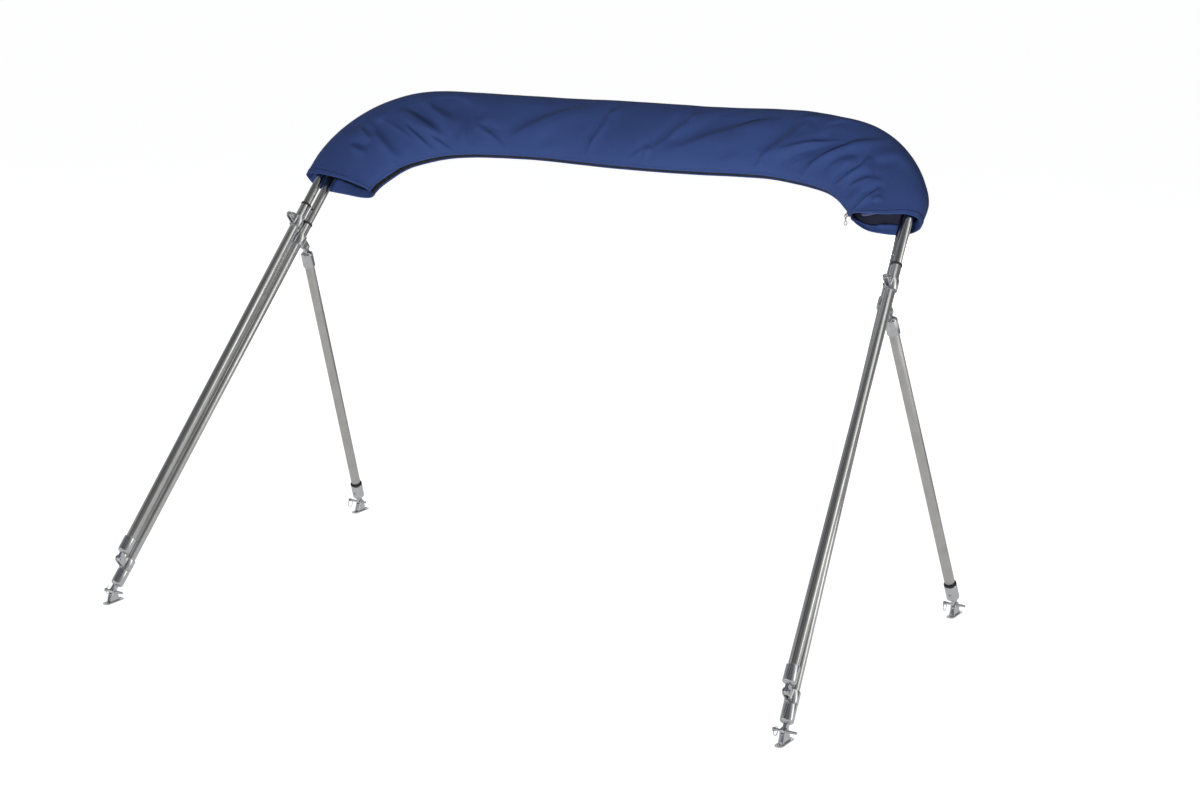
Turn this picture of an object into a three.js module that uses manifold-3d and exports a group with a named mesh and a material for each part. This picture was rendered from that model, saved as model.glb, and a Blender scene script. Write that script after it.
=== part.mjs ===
// A two-bow bimini top for a small boat, folded back over its rear struts.
// The folded canopy lies inside a zipped cloth boot on the two bows. Each bow is an upper
// U tube that telescopes into two lower legs. The main bow stands on two deck hinges, the
// second bow hangs on it by jaw slides, and two struts hold it up from the rear hinges.
// Millimetres, +Z up, +Y towards the rear, and the origin on the floor under the middle.

import * as THREE from "three";
import { mergeVertices } from "three/addons/utils/BufferGeometryUtils.js";
import Module from "manifold-3d";

const wasm = await Module();
wasm.setup();

// Driving sizes of the frame
const WIDTH = 1880;
const REAR_WIDTH = 1810;
const REAR_DISTANCE = 989;
const PIN_HEIGHT = 27;
const LEAN = THREE.MathUtils.degToRad(50.33);
const FLARE = Math.atan(0.0938);
const FIT = 0.3;

// Tubes
const TUBE_RADIUS = 12.7;
const UPPER_RADIUS = 11.1;
const UPPER_BORE = 11.6;
const TELESCOPE = 70;
const CORNER_RADIUS = 245;
const CROWN_S = 1480;
const CAMBER = 6;
const MAIN_COLLAR_S = 1088;
const SECOND_COLLAR_S = 1128;
const CLEAR_OF_BORE_END = 8;
const COLLAR = { inner: 11.6, outer: 13.9, strutInner: 13.5, height: 5 };
const BUTTON = { rise: 27, strutPlace: 36, turn: 0.5 };
const BUTTON_DOME = [[0, 0], [3.5, 0], [3.5, 1.6], [2.4, 2.7], [0, 3.1]];
const LEG_LEAD = 14;
const CROWN_STEPS = 8;
const CORNER_STEPS = 7;

// The second bow beside the main one: how far it lies outwards and forwards of it high up
const SECOND_FOOT_S = 76;
const SECOND_MARK_S = 1190;
const SECOND_LEGS = {
  left: { side: -1, markOut: 10, markForward: 28 },
  right: { side: 1, markOut: 19.5, markForward: 23 },
};
const SECOND_CROWN = { out: -5, forward: 26.3 };

// Jaw slides, eye ends, deck hinges and pins
const SLIDE = { sleeve: 16.2, bore: 13, half: 14.5, reach: 34, rootHalf: 13, tip: 8.75, ear: 3, gap: 9 };
const SPARE_SLIDE_S = 1078;
const STRUT_SLIDE_S = 1041;
const BOLT = { shank: 3, hole: 3.3, head: 5.5, headHeight: 3.2 };
const EYE = {
  radius: 8,
  taper: 1.5,
  thick: 8,
  neck: 16,
  neckRadius: 6.6,
  shoulder: 22,
  cap: 15.75,
  top: 60,
  bore: 13.1,
  floor: 24,
};
const HINGE = { length: 64, width: 20, thick: 3.2, corner: 8, screw: 23, rootHalf: 16, tip: 7.5 };
const SCREW = { hole: 2.75, sink: 5.2, sinkFrom: 0.8 };
const PIN = { radius: 3.175, hole: 3.6, head: 4.5, headFrom: -26, headTo: -18, tip: 32, crossHole: 2.6 };
const PIN_POINT = { length: 1.5, less: 1.2 };
const CHAMFER = 1;
const RING = { radius: 9.9, wire: 1.1, x: -22 };

// The boot: its outer and inner edges in the plane of the bow, from the left mouth to the right
const BOOT_ROWS = [
  { outerX: -893, outerS: 1224, innerX: -672, innerS: 1198 },
  { outerX: -880, outerS: 1300, innerX: -660, innerS: 1222 },
  { outerX: -846, outerS: 1370, innerX: -636, innerS: 1250 },
  { outerX: -795, outerS: 1428, innerX: -602, innerS: 1281 },
  { outerX: -734, outerS: 1471, innerX: -556, innerS: 1303 },
  { outerX: -663, outerS: 1501, innerX: -496, innerS: 1322 },
  { outerX: -590, outerS: 1515, innerX: -424, innerS: 1334 },
  { outerX: -480, outerS: 1519, innerX: -330, innerS: 1340 },
  { outerX: -340, outerS: 1520, innerX: -225, innerS: 1343 },
  { outerX: -190, outerS: 1522, innerX: -115, innerS: 1341 },
  { outerX: -30, outerS: 1525, innerX: 0, innerS: 1338 },
  { outerX: 130, outerS: 1526, innerX: 120, innerS: 1338 },
  { outerX: 280, outerS: 1527, innerX: 240, innerS: 1340 },
  { outerX: 410, outerS: 1533, innerX: 350, innerS: 1344 },
  { outerX: 510, outerS: 1532, innerX: 440, innerS: 1345 },
  { outerX: 595, outerS: 1522, innerX: 510, innerS: 1338 },
  { outerX: 675, outerS: 1506, innerX: 565, innerS: 1329 },
  { outerX: 742, outerS: 1473, innerX: 608, innerS: 1318 },
  { outerX: 800, outerS: 1425, innerX: 638, innerS: 1302 },
  { outerX: 840, outerS: 1374, innerX: 660, innerS: 1284 },
  { outerX: 868, outerS: 1315, innerX: 678, innerS: 1268 },
  { outerX: 876, outerS: 1247, innerX: 688, innerS: 1256 },
];
const BOOT = { thick: 2, middle: 5, halfDepth: 47, outerPower: 2.6, innerPower: 2 };
const BOOT_STEPS = 50;
const SEAM_GAP = 0.5;
const HEM = { width: 22, step: 3, rise: 0.8 };
const ZIP = { halfSlot: 5, halfTape: 9, thick: 1.4, gap: 0.4 };

// The main folds of the front panel: a soft line between two points, its half width and its rise
const FRONT_FOLDS = [
  { fromX: -711, fromS: 1406, toX: -538, toS: 1369, width: 24, rise: 5 },
  { fromX: -694, fromS: 1390, toX: -522, toS: 1313, width: 26, rise: -9 },
  { fromX: -649, fromS: 1448, toX: -479, toS: 1358, width: 27, rise: -9 },
  { fromX: -587, fromS: 1463, toX: -491, toS: 1384, width: 22, rise: 4 },
  { fromX: -523, fromS: 1479, toX: -412, toS: 1434, width: 26, rise: -5 },
  { fromX: -496, fromS: 1351, toX: -439, toS: 1322, width: 20, rise: -5 },
  { fromX: -441, fromS: 1418, toX: -423, toS: 1348, width: 22, rise: -6 },
  { fromX: -384, fromS: 1388, toX: -281, toS: 1328, width: 26, rise: -7 },
  { fromX: -123, fromS: 1492, toX: -277, toS: 1387, width: 42, rise: -8 },
  { fromX: -27, fromS: 1477, toX: -70, toS: 1357, width: 26, rise: -6 },
  { fromX: 225, fromS: 1499, toX: 163, toS: 1407, width: 30, rise: -8 },
  { fromX: 163, fromS: 1407, toX: 98, toS: 1357, width: 26, rise: -7 },
  { fromX: 445, fromS: 1497, toX: 220, toS: 1394, width: 38, rise: -7 },
  { fromX: 507, fromS: 1449, toX: 421, toS: 1366, width: 26, rise: -7 },
  { fromX: 560, fromS: 1440, toX: 470, toS: 1392, width: 24, rise: 4 },
  { fromX: 666, fromS: 1490, toX: 570, toS: 1440, width: 24, rise: -5 },
  { fromX: 708, fromS: 1471, toX: 483, toS: 1363, width: 30, rise: -8 },
  { fromX: 735, fromS: 1440, toX: 547, toS: 1340, width: 24, rise: -6 },
  { fromX: 760, fromS: 1412, toX: 660, toS: 1372, width: 20, rise: 5 },
  { fromX: 715, fromS: 1394, toX: 638, toS: 1329, width: 22, rise: -7 },
  { fromX: 738, fromS: 1346, toX: 671, toS: 1307, width: 22, rise: -6 },
  { fromX: 756, fromS: 1312, toX: 705, toS: 1259, width: 22, rise: -6 },
];
const BACK_FOLDS = [
  { fromX: -760, fromS: 1400, toX: -590, toS: 1320, width: 30, rise: -7 },
  { fromX: -420, fromS: 1490, toX: -330, toS: 1380, width: 36, rise: -6 },
  { fromX: -60, fromS: 1480, toX: 40, toS: 1370, width: 40, rise: -7 },
  { fromX: 330, fromS: 1500, toX: 230, toS: 1380, width: 36, rise: -6 },
  { fromX: 740, fromS: 1430, toX: 580, toS: 1340, width: 30, rise: -7 },
  { fromX: 790, fromS: 1330, toX: 700, toS: 1290, width: 26, rise: -6 },
];
const DEEPEST_FRONT = 43.6;
const DEEPEST_BACK = -29;

// The folded canopy: sheet, first and last run beside the bows, and how far the runs reach
const CANOPY = { thick: 2.2, seat: 0.4, runs: 6, outerTurn: -24, flap: 35, flapForward: 3 };
const CANOPY_TURNS = [-106, -112, -84];

// Zip slider and its pull
const SLIDER = { length: 12, width: 8, body: 4, sunk: 1.4, place: 0.962 };
const BRIDGE = { rise: 4.6, thick: 1.6, halfSpan: 4.5, sunk: 1 };
const PULL = { thick: 1.6, hole: 3, head: 4.5, foot: 5, footHole: 3.2, length: 18 };

const FINE = 16;
const COARSE = 12;
const SMALL = 10;
const X_AXIS = new THREE.Vector3(1, 0, 0);

const look = (color, roughness, metalness = 0) => (name) => (
  new THREE.MeshStandardMaterial({ name, color, roughness, metalness })
);
const steel = look(0xd6d8da, 0.18, 1);
const satin = look(0xc4c7ca, 0.34, 1);
const dullMetal = look(0x8f9499, 0.4, 1);
const plastic = look(0x161719, 0.5);
const navy = look(0x2b3568, 0.9);
const lining = look(0x4a5078, 0.9);
const zipBlack = look(0x0f1013, 0.7);

// Keep only the positions, share the vertices, drop empty faces and turn all faces outwards.
function closed(geometry) {
  geometry.deleteAttribute("normal");
  geometry.deleteAttribute("uv");
  const merged = mergeVertices(geometry, 1e-4);
  const point = merged.attributes.position;
  const index = Array.from(merged.index.array);
  const kept = [];
  let volume = 0;
  const [a, b, c] = [new THREE.Vector3(), new THREE.Vector3(), new THREE.Vector3()];
  for (let i = 0; i < index.length; i += 3) {
    const [p, q, r] = index.slice(i, i + 3);
    if (p === q || q === r || r === p) continue;
    kept.push([p, q, r]);
    a.fromBufferAttribute(point, p);
    b.fromBufferAttribute(point, q);
    c.fromBufferAttribute(point, r);
    volume += a.dot(b.cross(c));
  }
  if (volume < 0) kept.forEach((face) => face.reverse());
  merged.setIndex(kept.flat());
  return merged;
}

function toSolid(geometry) {
  const mesh = closed(geometry);
  const vertProperties = new Float32Array(mesh.attributes.position.array);
  const triVerts = new Uint32Array(mesh.index.array);
  return new wasm.Manifold(new wasm.Mesh({ numProp: 3, vertProperties, triVerts }));
}

function fromSolid(solid) {
  const mesh = solid.getMesh();
  const geometry = new THREE.BufferGeometry();
  geometry.setAttribute("position", new THREE.BufferAttribute(new Float32Array(mesh.vertProperties), 3));
  geometry.setIndex(Array.from(mesh.triVerts));
  return geometry;
}

function join(first, ...more) {
  return fromSolid(more.reduce((sum, one) => sum.add(toSolid(one)), toSolid(first)));
}

function cut(first, ...more) {
  return fromSolid(more.reduce((rest, one) => rest.subtract(toSolid(one)), toSolid(first)));
}

function piece(name, geometry, material) {
  const mesh = new THREE.Mesh(closed(geometry), material(name));
  mesh.name = name;
  return mesh;
}

// A round body about Y from a profile of [radius, height] points.
function turned(profile, segments = FINE) {
  const points = profile.map(([radius, height]) => new THREE.Vector2(radius, height));
  return new THREE.LatheGeometry(points, segments);
}

// A flat plate across X from an outline drawn in forwards (first) and along (second) sizes.
function plateAcross(shape, thick, x = 0, curveSegments = 5) {
  const plate = new THREE.ExtrudeGeometry(shape, { depth: thick, bevelEnabled: false, curveSegments });
  plate.translate(0, 0, -thick / 2);
  plate.rotateY(-Math.PI / 2);
  plate.translate(x, 0, 0);
  return plate;
}

// A tapered ear with a round tip and a hole for the bolt or pin.
function earShape(root, rootHalf, reach, tip, hole) {
  const shape = new THREE.Shape();
  shape.moveTo(root, -rootHalf);
  shape.lineTo(reach, -tip);
  shape.absarc(reach, 0, tip, -Math.PI / 2, Math.PI / 2, false);
  shape.lineTo(root, rootHalf);
  shape.closePath();
  const bolt = new THREE.Path();
  bolt.absarc(reach, 0, hole, 0, 2 * Math.PI, true);
  shape.holes.push(bolt);
  return shape;
}

// Turn a frame so that its X is the pin and its Y the way a tube leaves the pin. The tube may
// lean out of the plane across the pin, and that lean is returned.
function lookAlong(object, origin, pinAxis, direction) {
  const lean = Math.asin(direction.dot(pinAxis));
  const along = direction.clone().addScaledVector(pinAxis, -direction.dot(pinAxis)).normalize();
  const basis = new THREE.Matrix4().makeBasis(pinAxis, along, pinAxis.clone().cross(along));
  object.quaternion.setFromRotationMatrix(basis);
  object.position.copy(origin);
  return lean;
}

// The tube's end cap with its eye: the eye stands square to the pin, the cap follows the tube.
function eyeEnd(name, origin, pinAxis, direction) {
  const holder = new THREE.Group();
  const lean = lookAlong(holder, origin, pinAxis, direction);
  const cap = turned([
    [0, EYE.neck],
    [EYE.neckRadius, EYE.neck],
    [EYE.cap, EYE.shoulder],
    [EYE.cap, EYE.top],
    [EYE.bore, EYE.top],
    [EYE.bore, EYE.floor],
    [0, EYE.floor],
  ]);
  cap.rotateZ(-lean);
  const tongue = new THREE.Shape();
  tongue.absarc(0, 0, EYE.radius, -Math.PI, 0, false);
  tongue.lineTo(EYE.radius - EYE.taper, EYE.shoulder);
  tongue.lineTo(EYE.taper - EYE.radius, EYE.shoulder);
  tongue.closePath();
  const eye = new THREE.Path();
  eye.absarc(0, 0, PIN.hole, 0, 2 * Math.PI, true);
  tongue.holes.push(eye);
  holder.add(piece(name, join(cap, plateAcross(tongue, EYE.thick, 0, 4)), steel));
  return holder;
}

// A jaw slide: a sleeve on the tube and two ears forwards of it.
function jawSlide(name, y, turn) {
  const sleeve = turned([
    [SLIDE.bore, -SLIDE.half],
    [SLIDE.sleeve, -SLIDE.half],
    [SLIDE.sleeve, SLIDE.half],
    [SLIDE.bore, SLIDE.half],
    [SLIDE.bore, -SLIDE.half],
  ]);
  const shape = earShape(SLIDE.bore + FIT, SLIDE.rootHalf, SLIDE.reach, SLIDE.tip, BOLT.hole);
  const earX = (SLIDE.gap + SLIDE.ear) / 2;
  const slide = join(sleeve, plateAcross(shape, SLIDE.ear, -earX, 4), plateAcross(shape, SLIDE.ear, earX, 4));
  const mesh = piece(name, slide, steel);
  mesh.position.y = y;
  mesh.rotation.y = turn;
  return mesh;
}

// The bolt through a slide's ears, with its round head and nut.
function jawBolt(name, y, forward) {
  const inside = SLIDE.gap / 2 + SLIDE.ear + FIT;
  const outside = inside + BOLT.headHeight;
  const bolt = turned([
    [0, -outside],
    [BOLT.head, -outside],
    [BOLT.head, -inside],
    [BOLT.shank, -inside],
    [BOLT.shank, inside],
    [BOLT.head, inside],
    [BOLT.head - CHAMFER, outside],
    [0, outside],
  ], SMALL);
  bolt.rotateZ(-Math.PI / 2);
  const mesh = piece(name, bolt, steel);
  mesh.position.set(0, y, forward);
  return mesh;
}

function collarRing(name, inner, outer, from) {
  const ring = turned([
    [inner, from],
    [outer, from],
    [outer, from + COLLAR.height],
    [inner, from + COLLAR.height],
    [inner, from],
  ], COARSE);
  return piece(name, ring, plastic);
}

// A small domed button standing out of a tube towards +Z before it is turned.
function domedButton(name, seatRadius, y, turn) {
  const dome = turned(BUTTON_DOME, SMALL);
  dome.rotateX(Math.PI / 2);
  dome.translate(0, 0, seatRadius + FIT);
  const mesh = piece(name, dome, steel);
  mesh.position.y = y;
  mesh.rotation.y = turn;
  return mesh;
}

// A lower leg tube, with the bore at its top that the bow's tube slides in.
function lowerTube(name, from, to) {
  const tube = turned([
    [0, from],
    [TUBE_RADIUS, from],
    [TUBE_RADIUS, to],
    [UPPER_BORE, to],
    [UPPER_BORE, to - TELESCOPE],
    [0, to - TELESCOPE],
  ]);
  return piece(name, tube, steel);
}

// The centreline of the main bow in the bow's plane, by the distance from the middle of its crown.
const cornerS = CROWN_S - CAMBER - CORNER_RADIUS;
const tangentS = cornerS + CORNER_RADIUS * Math.sin(FLARE);
const legX = (s) => WIDTH / 2 - Math.tan(FLARE) * s;
const cornerX = legX(tangentS) - CORNER_RADIUS * Math.cos(FLARE);
const crownDrop = CORNER_RADIUS + CAMBER;
const crownRadius = (cornerX ** 2 + crownDrop ** 2 - CORNER_RADIUS ** 2) / (2 * CAMBER);
const crownAngle = Math.asin(cornerX / (crownRadius - CORNER_RADIUS));
const crownLength = crownRadius * crownAngle;
const cornerLength = CORNER_RADIUS * (Math.PI / 2 - FLARE - crownAngle);
const bendEnd = crownLength + cornerLength;
const onLeg = (s) => s / Math.cos(FLARE);

function bowAt(distance) {
  const side = distance < 0 ? -1 : 1;
  const far = Math.abs(distance);
  let angle = far / crownRadius;
  let x = crownRadius * Math.sin(angle);
  let s = CROWN_S - crownRadius * (1 - Math.cos(angle));
  if (far > crownLength) {
    const turn = Math.min(far - crownLength, cornerLength) / CORNER_RADIUS;
    const onward = Math.max(far - bendEnd, 0);
    angle = crownAngle + turn;
    x = cornerX + CORNER_RADIUS * Math.sin(angle) + onward * Math.cos(angle);
    s = cornerS + CORNER_RADIUS * Math.cos(angle) - onward * Math.sin(angle);
  }
  return { x: side * x, s, outX: side * Math.sin(angle), outS: Math.cos(angle) };
}

// How far the second bow lies outside and in front of the main one.
function secondAt(distance) {
  const leg = distance < 0 ? SECOND_LEGS.left : SECOND_LEGS.right;
  const far = Math.abs(distance);
  const s = tangentS - Math.max(far - bendEnd, 0) * Math.cos(FLARE);
  const up = (s - SECOND_FOOT_S) / (SECOND_MARK_S - SECOND_FOOT_S);
  const out = leg.markOut * up;
  const forward = THREE.MathUtils.lerp(SLIDE.reach, leg.markForward, up);
  const bend = THREE.MathUtils.clamp((bendEnd - far) / cornerLength, 0, 1);
  return {
    out: THREE.MathUtils.lerp(out, SECOND_CROWN.out, bend),
    forward: THREE.MathUtils.lerp(forward, SECOND_CROWN.forward, Math.sin(bend * Math.PI / 2)),
  };
}

// The distances at which the bow is sampled: few on the crown, more round the two corners.
function bendStations() {
  const stations = [-bendEnd - LEG_LEAD];
  const add = (from, to, steps) => {
    for (let i = 0; i < steps; i += 1) stations.push(THREE.MathUtils.lerp(from, to, i / steps));
  };
  add(-bendEnd, -crownLength, CORNER_STEPS);
  add(-crownLength, crownLength, CROWN_STEPS);
  add(crownLength, bendEnd, CORNER_STEPS);
  stations.push(bendEnd, bendEnd + LEG_LEAD);
  return stations;
}

// A solid along the bow from its outline across the bow, as [outwards, forwards] points that go
// round anticlockwise at each distance.
function alongBow(stations, outlineAt) {
  const outlines = stations.map(outlineAt);
  const points = outlines.flatMap((outline, i) => {
    const at = bowAt(stations[i]);
    return outline.map((p) => new THREE.Vector3(at.x + p.x * at.outX, at.s + p.x * at.outS, p.y));
  });
  const sides = outlines[0].length;
  const faces = [];
  for (let i = 0; i < stations.length - 1; i += 1) {
    for (let j = 0; j < sides; j += 1) {
      const a = i * sides + j;
      const b = i * sides + ((j + 1) % sides);
      faces.push(a, a + sides, b, b, a + sides, b + sides);
    }
  }
  const last = (stations.length - 1) * sides;
  for (const [a, b, c] of THREE.ShapeUtils.triangulateShape(outlines[0], [])) faces.push(a, b, c);
  for (const [a, b, c] of THREE.ShapeUtils.triangulateShape(outlines.at(-1), [])) {
    faces.push(last + c, last + b, last + a);
  }
  const geometry = new THREE.BufferGeometry().setFromPoints(points);
  geometry.setIndex(faces);
  return geometry;
}

function tubeOutline(out, forward) {
  return Array.from({ length: COARSE }, (_, i) => {
    const angle = (2 * Math.PI * i) / COARSE;
    return new THREE.Vector2(out + UPPER_RADIUS * Math.cos(angle), forward + UPPER_RADIUS * Math.sin(angle));
  });
}

// A bow's upper tube, from one leg's bore round to the other.
function upperBow(name, collarS, besideAt) {
  const low = bendEnd + (tangentS - collarS + TELESCOPE - CLEAR_OF_BORE_END) / Math.cos(FLARE);
  const stations = [-low, ...bendStations(), low];
  const outlineAt = (distance) => {
    const beside = besideAt(distance);
    return tubeOutline(beside.out, beside.forward);
  };
  return piece(name, alongBow(stations, outlineAt), steel);
}

// One main leg with all that is clamped on it, and the second leg that hangs on it.
function legPair(sideName) {
  const second = SECOND_LEGS[sideName];
  const side = second.side;
  const holder = new THREE.Group();

  const main = new THREE.Group();
  main.position.set(side * WIDTH / 2, 0, 0);
  main.rotation.z = side * FLARE;
  const mainTop = onLeg(MAIN_COLLAR_S);
  main.add(lowerTube(`main_leg_${sideName}`, EYE.floor + FIT, mainTop));
  const collarFrom = mainTop + FIT;
  main.add(collarRing(`main_collar_${sideName}`, COLLAR.inner, COLLAR.outer, collarFrom));
  const inwards = -side * (Math.PI / 2 - BUTTON.turn);
  main.add(domedButton(`main_button_${sideName}`, UPPER_RADIUS, mainTop + BUTTON.rise, inwards));
  main.add(jawSlide(`second_hinge_slide_${sideName}`, onLeg(SECOND_FOOT_S), 0));
  main.add(jawSlide(`strut_slide_${sideName}`, onLeg(STRUT_SLIDE_S), Math.PI));
  main.add(jawBolt(`second_hinge_bolt_${sideName}`, onLeg(SECOND_FOOT_S), SLIDE.reach));
  main.add(jawBolt(`strut_bolt_${sideName}`, onLeg(STRUT_SLIDE_S), -SLIDE.reach));

  const foot = new THREE.Vector3(0, onLeg(SECOND_FOOT_S), SLIDE.reach);
  const mark = new THREE.Vector3(side * second.markOut, onLeg(SECOND_MARK_S), second.markForward);
  const secondUp = mark.sub(foot).normalize();
  main.add(eyeEnd(`second_eye_end_${sideName}`, foot, X_AXIS, secondUp));
  const beside = new THREE.Group();
  const sideLean = lookAlong(beside, foot, X_AXIS, secondUp);
  const follow = new THREE.Group();
  follow.rotation.z = -sideLean;
  const secondTop = onLeg(SECOND_COLLAR_S - SECOND_FOOT_S);
  follow.add(lowerTube(`second_leg_${sideName}`, EYE.floor + FIT, secondTop));
  const secondFrom = secondTop + FIT;
  follow.add(collarRing(`second_collar_${sideName}`, COLLAR.inner, COLLAR.outer, secondFrom));
  follow.add(domedButton(`second_button_${sideName}`, UPPER_RADIUS, secondTop + BUTTON.rise, inwards));
  follow.add(jawSlide(`spare_slide_${sideName}`, onLeg(SPARE_SLIDE_S - SECOND_FOOT_S), 0));
  follow.add(jawBolt(`spare_bolt_${sideName}`, onLeg(SPARE_SLIDE_S - SECOND_FOOT_S), SLIDE.reach));
  beside.add(follow);
  main.add(beside);

  const legUp = new THREE.Vector3(-side * Math.sin(FLARE), Math.cos(FLARE), 0);
  holder.add(main);
  holder.add(eyeEnd(`main_eye_end_${sideName}`, main.position.clone(), X_AXIS, legUp));
  return holder;
}

// The boot's section at a place along it (0 to 1) and an angle round it: 0 is the outer seam,
// a quarter turn the front, half a turn the zip. Depth is the distance under the outside.
const outerPoints = BOOT_ROWS.map((row) => new THREE.Vector3(row.outerX, row.outerS, 0));
const innerPoints = BOOT_ROWS.map((row) => new THREE.Vector3(row.innerX, row.innerS, 0));
const outerEdge = new THREE.CatmullRomCurve3(outerPoints);
const innerEdge = new THREE.CatmullRomCurve3(innerPoints);

function foldAt(folds, x, s) {
  let rise = 0;
  for (const fold of folds) {
    const spanX = fold.toX - fold.fromX;
    const spanS = fold.toS - fold.fromS;
    const length = Math.hypot(spanX, spanS);
    const reach = ((x - fold.fromX) * spanX + (s - fold.fromS) * spanS) / length;
    const beside = ((x - fold.fromX) * spanS - (s - fold.fromS) * spanX) / length;
    const beyond = Math.max(-reach, reach - length, 0);
    const away = Math.hypot(beside, beyond) / fold.width;
    rise += fold.rise * Math.exp(-2 * away * away);
  }
  return rise;
}

const signedPower = (value, power) => Math.sign(value) * Math.abs(value) ** power;

function bootPoint(place, angle, depth) {
  const outer = outerEdge.getPoint(place);
  const inner = innerEdge.getPoint(place);
  const across = outer.clone().sub(inner);
  const halfWidth = across.length() / 2 - depth;
  const halfDepth = BOOT.halfDepth - depth;
  across.normalize();
  const side = (1 - Math.cos(angle)) / 2;
  const power = 2 / THREE.MathUtils.lerp(BOOT.outerPower, BOOT.innerPower, side);
  const point = outer.add(inner).multiplyScalar(0.5);
  point.addScaledVector(across, halfWidth * signedPower(Math.cos(angle), power));
  let forward = BOOT.middle + halfDepth * signedPower(Math.sin(angle), power);
  if (Math.sin(angle) > 0) {
    const fold = foldAt(FRONT_FOLDS, point.x, point.y) * Math.sqrt(Math.sin(angle));
    const floor = Math.min(forward, DEEPEST_FRONT - depth);
    forward = Math.max(forward + fold, floor);
  } else {
    const fold = foldAt(BACK_FOLDS, point.x, point.y) * Math.sqrt(-Math.sin(angle));
    const roof = Math.max(forward, DEEPEST_BACK + depth);
    forward = Math.min(forward - fold, roof);
  }
  return point.setZ(forward);
}

// Places along the boot: the hem's steps at each mouth and even steps between.
function bootPlaces() {
  const mouthStep = 1 / (BOOT_ROWS.length - 1);
  const rowLength = Math.hypot(
    BOOT_ROWS[1].outerX - BOOT_ROWS[0].outerX,
    BOOT_ROWS[1].outerS - BOOT_ROWS[0].outerS,
  );
  const hemPlaces = [0, HEM.width, HEM.width + HEM.step].map((length) => (length / rowLength) * mouthStep);
  const [mouth, hemEnd, from] = hemPlaces;
  return [mouth, hemEnd, ...evenly(from, 1 - from, BOOT_STEPS), 1 - hemEnd, 1];
}

// A closed sheet on a grid of places and angles, between an outer and an inner depth.
function sheet(places, angles, outside, inside) {
  const points = [];
  const rows = places.length;
  const columns = angles.length;
  for (const depth of [outside, inside]) {
    places.forEach((place, i) => {
      const hem = depth === 0 && (i < 2 || i >= rows - 2) ? HEM.rise : 0;
      angles.forEach((angle) => points.push(bootPoint(place, angle, depth - hem)));
    });
  }
  const at = (layer, i, j) => (layer * rows + i) * columns + j;
  const faces = [];
  const quad = (a, b, c, d) => faces.push(a, b, c, a, c, d);
  for (let i = 0; i < rows - 1; i += 1) {
    for (let j = 0; j < columns - 1; j += 1) {
      quad(at(0, i, j), at(0, i + 1, j), at(0, i + 1, j + 1), at(0, i, j + 1));
      quad(at(1, i, j + 1), at(1, i + 1, j + 1), at(1, i + 1, j), at(1, i, j));
    }
    quad(at(1, i, 0), at(1, i + 1, 0), at(0, i + 1, 0), at(0, i, 0));
    quad(at(0, i, columns - 1), at(0, i + 1, columns - 1), at(1, i + 1, columns - 1), at(1, i, columns - 1));
  }
  for (let j = 0; j < columns - 1; j += 1) {
    quad(at(1, 0, j + 1), at(1, 0, j), at(0, 0, j), at(0, 0, j + 1));
    quad(at(0, rows - 1, j + 1), at(0, rows - 1, j), at(1, rows - 1, j), at(1, rows - 1, j + 1));
  }
  const geometry = new THREE.BufferGeometry().setFromPoints(points);
  geometry.setIndex(faces);
  return geometry;
}

function evenly(from, to, steps) {
  return Array.from({ length: steps + 1 }, (_, i) => THREE.MathUtils.lerp(from, to, i / steps));
}

const seamAngle = Math.asin((SEAM_GAP / 2 / BOOT.halfDepth) ** (BOOT.outerPower / 2));
const slotAngle = ZIP.halfSlot / BOOT.halfDepth;
const tapeAngle = ZIP.halfTape / BOOT.halfDepth;

function bootFront() {
  const angles = [...evenly(seamAngle, Math.PI - tapeAngle, 11), Math.PI - slotAngle];
  return piece("boot_front_panel", sheet(bootPlaces(), angles, 0, BOOT.thick), navy);
}

function bootBack() {
  const angles = [Math.PI + slotAngle, ...evenly(Math.PI + tapeAngle, 2 * Math.PI - seamAngle, 7)];
  return piece("boot_back_panel", sheet(bootPlaces(), angles, 0, BOOT.thick), navy);
}

function zipTape() {
  const angles = evenly(Math.PI - tapeAngle, Math.PI + tapeAngle, 2);
  const outside = BOOT.thick + ZIP.gap;
  const places = bootPlaces().slice(1, -1);
  return piece("zip_tape", sheet(places, angles, outside, outside + ZIP.thick), zipBlack);
}

// The outline of a ribbon of cloth round a line of [outwards, forwards] points.
function ribbon(line, thick) {
  const left = [];
  const right = [];
  line.forEach((point, i) => {
    const before = line[Math.max(i - 1, 0)];
    const after = line[Math.min(i + 1, line.length - 1)];
    const into = point.clone().sub(before).normalize();
    const outOf = after.clone().sub(point).normalize();
    if (i === 0) into.copy(outOf);
    if (i === line.length - 1) outOf.copy(into);
    const mitre = new THREE.Vector2(-into.y - outOf.y, into.x + outOf.x).normalize();
    const half = thick / 2 / Math.max(mitre.dot(new THREE.Vector2(-into.y, into.x)), 0.5);
    left.push(point.clone().addScaledVector(mitre, half));
    right.push(point.clone().addScaledVector(mitre, -half));
  });
  return right.concat(left.reverse());
}

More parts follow.
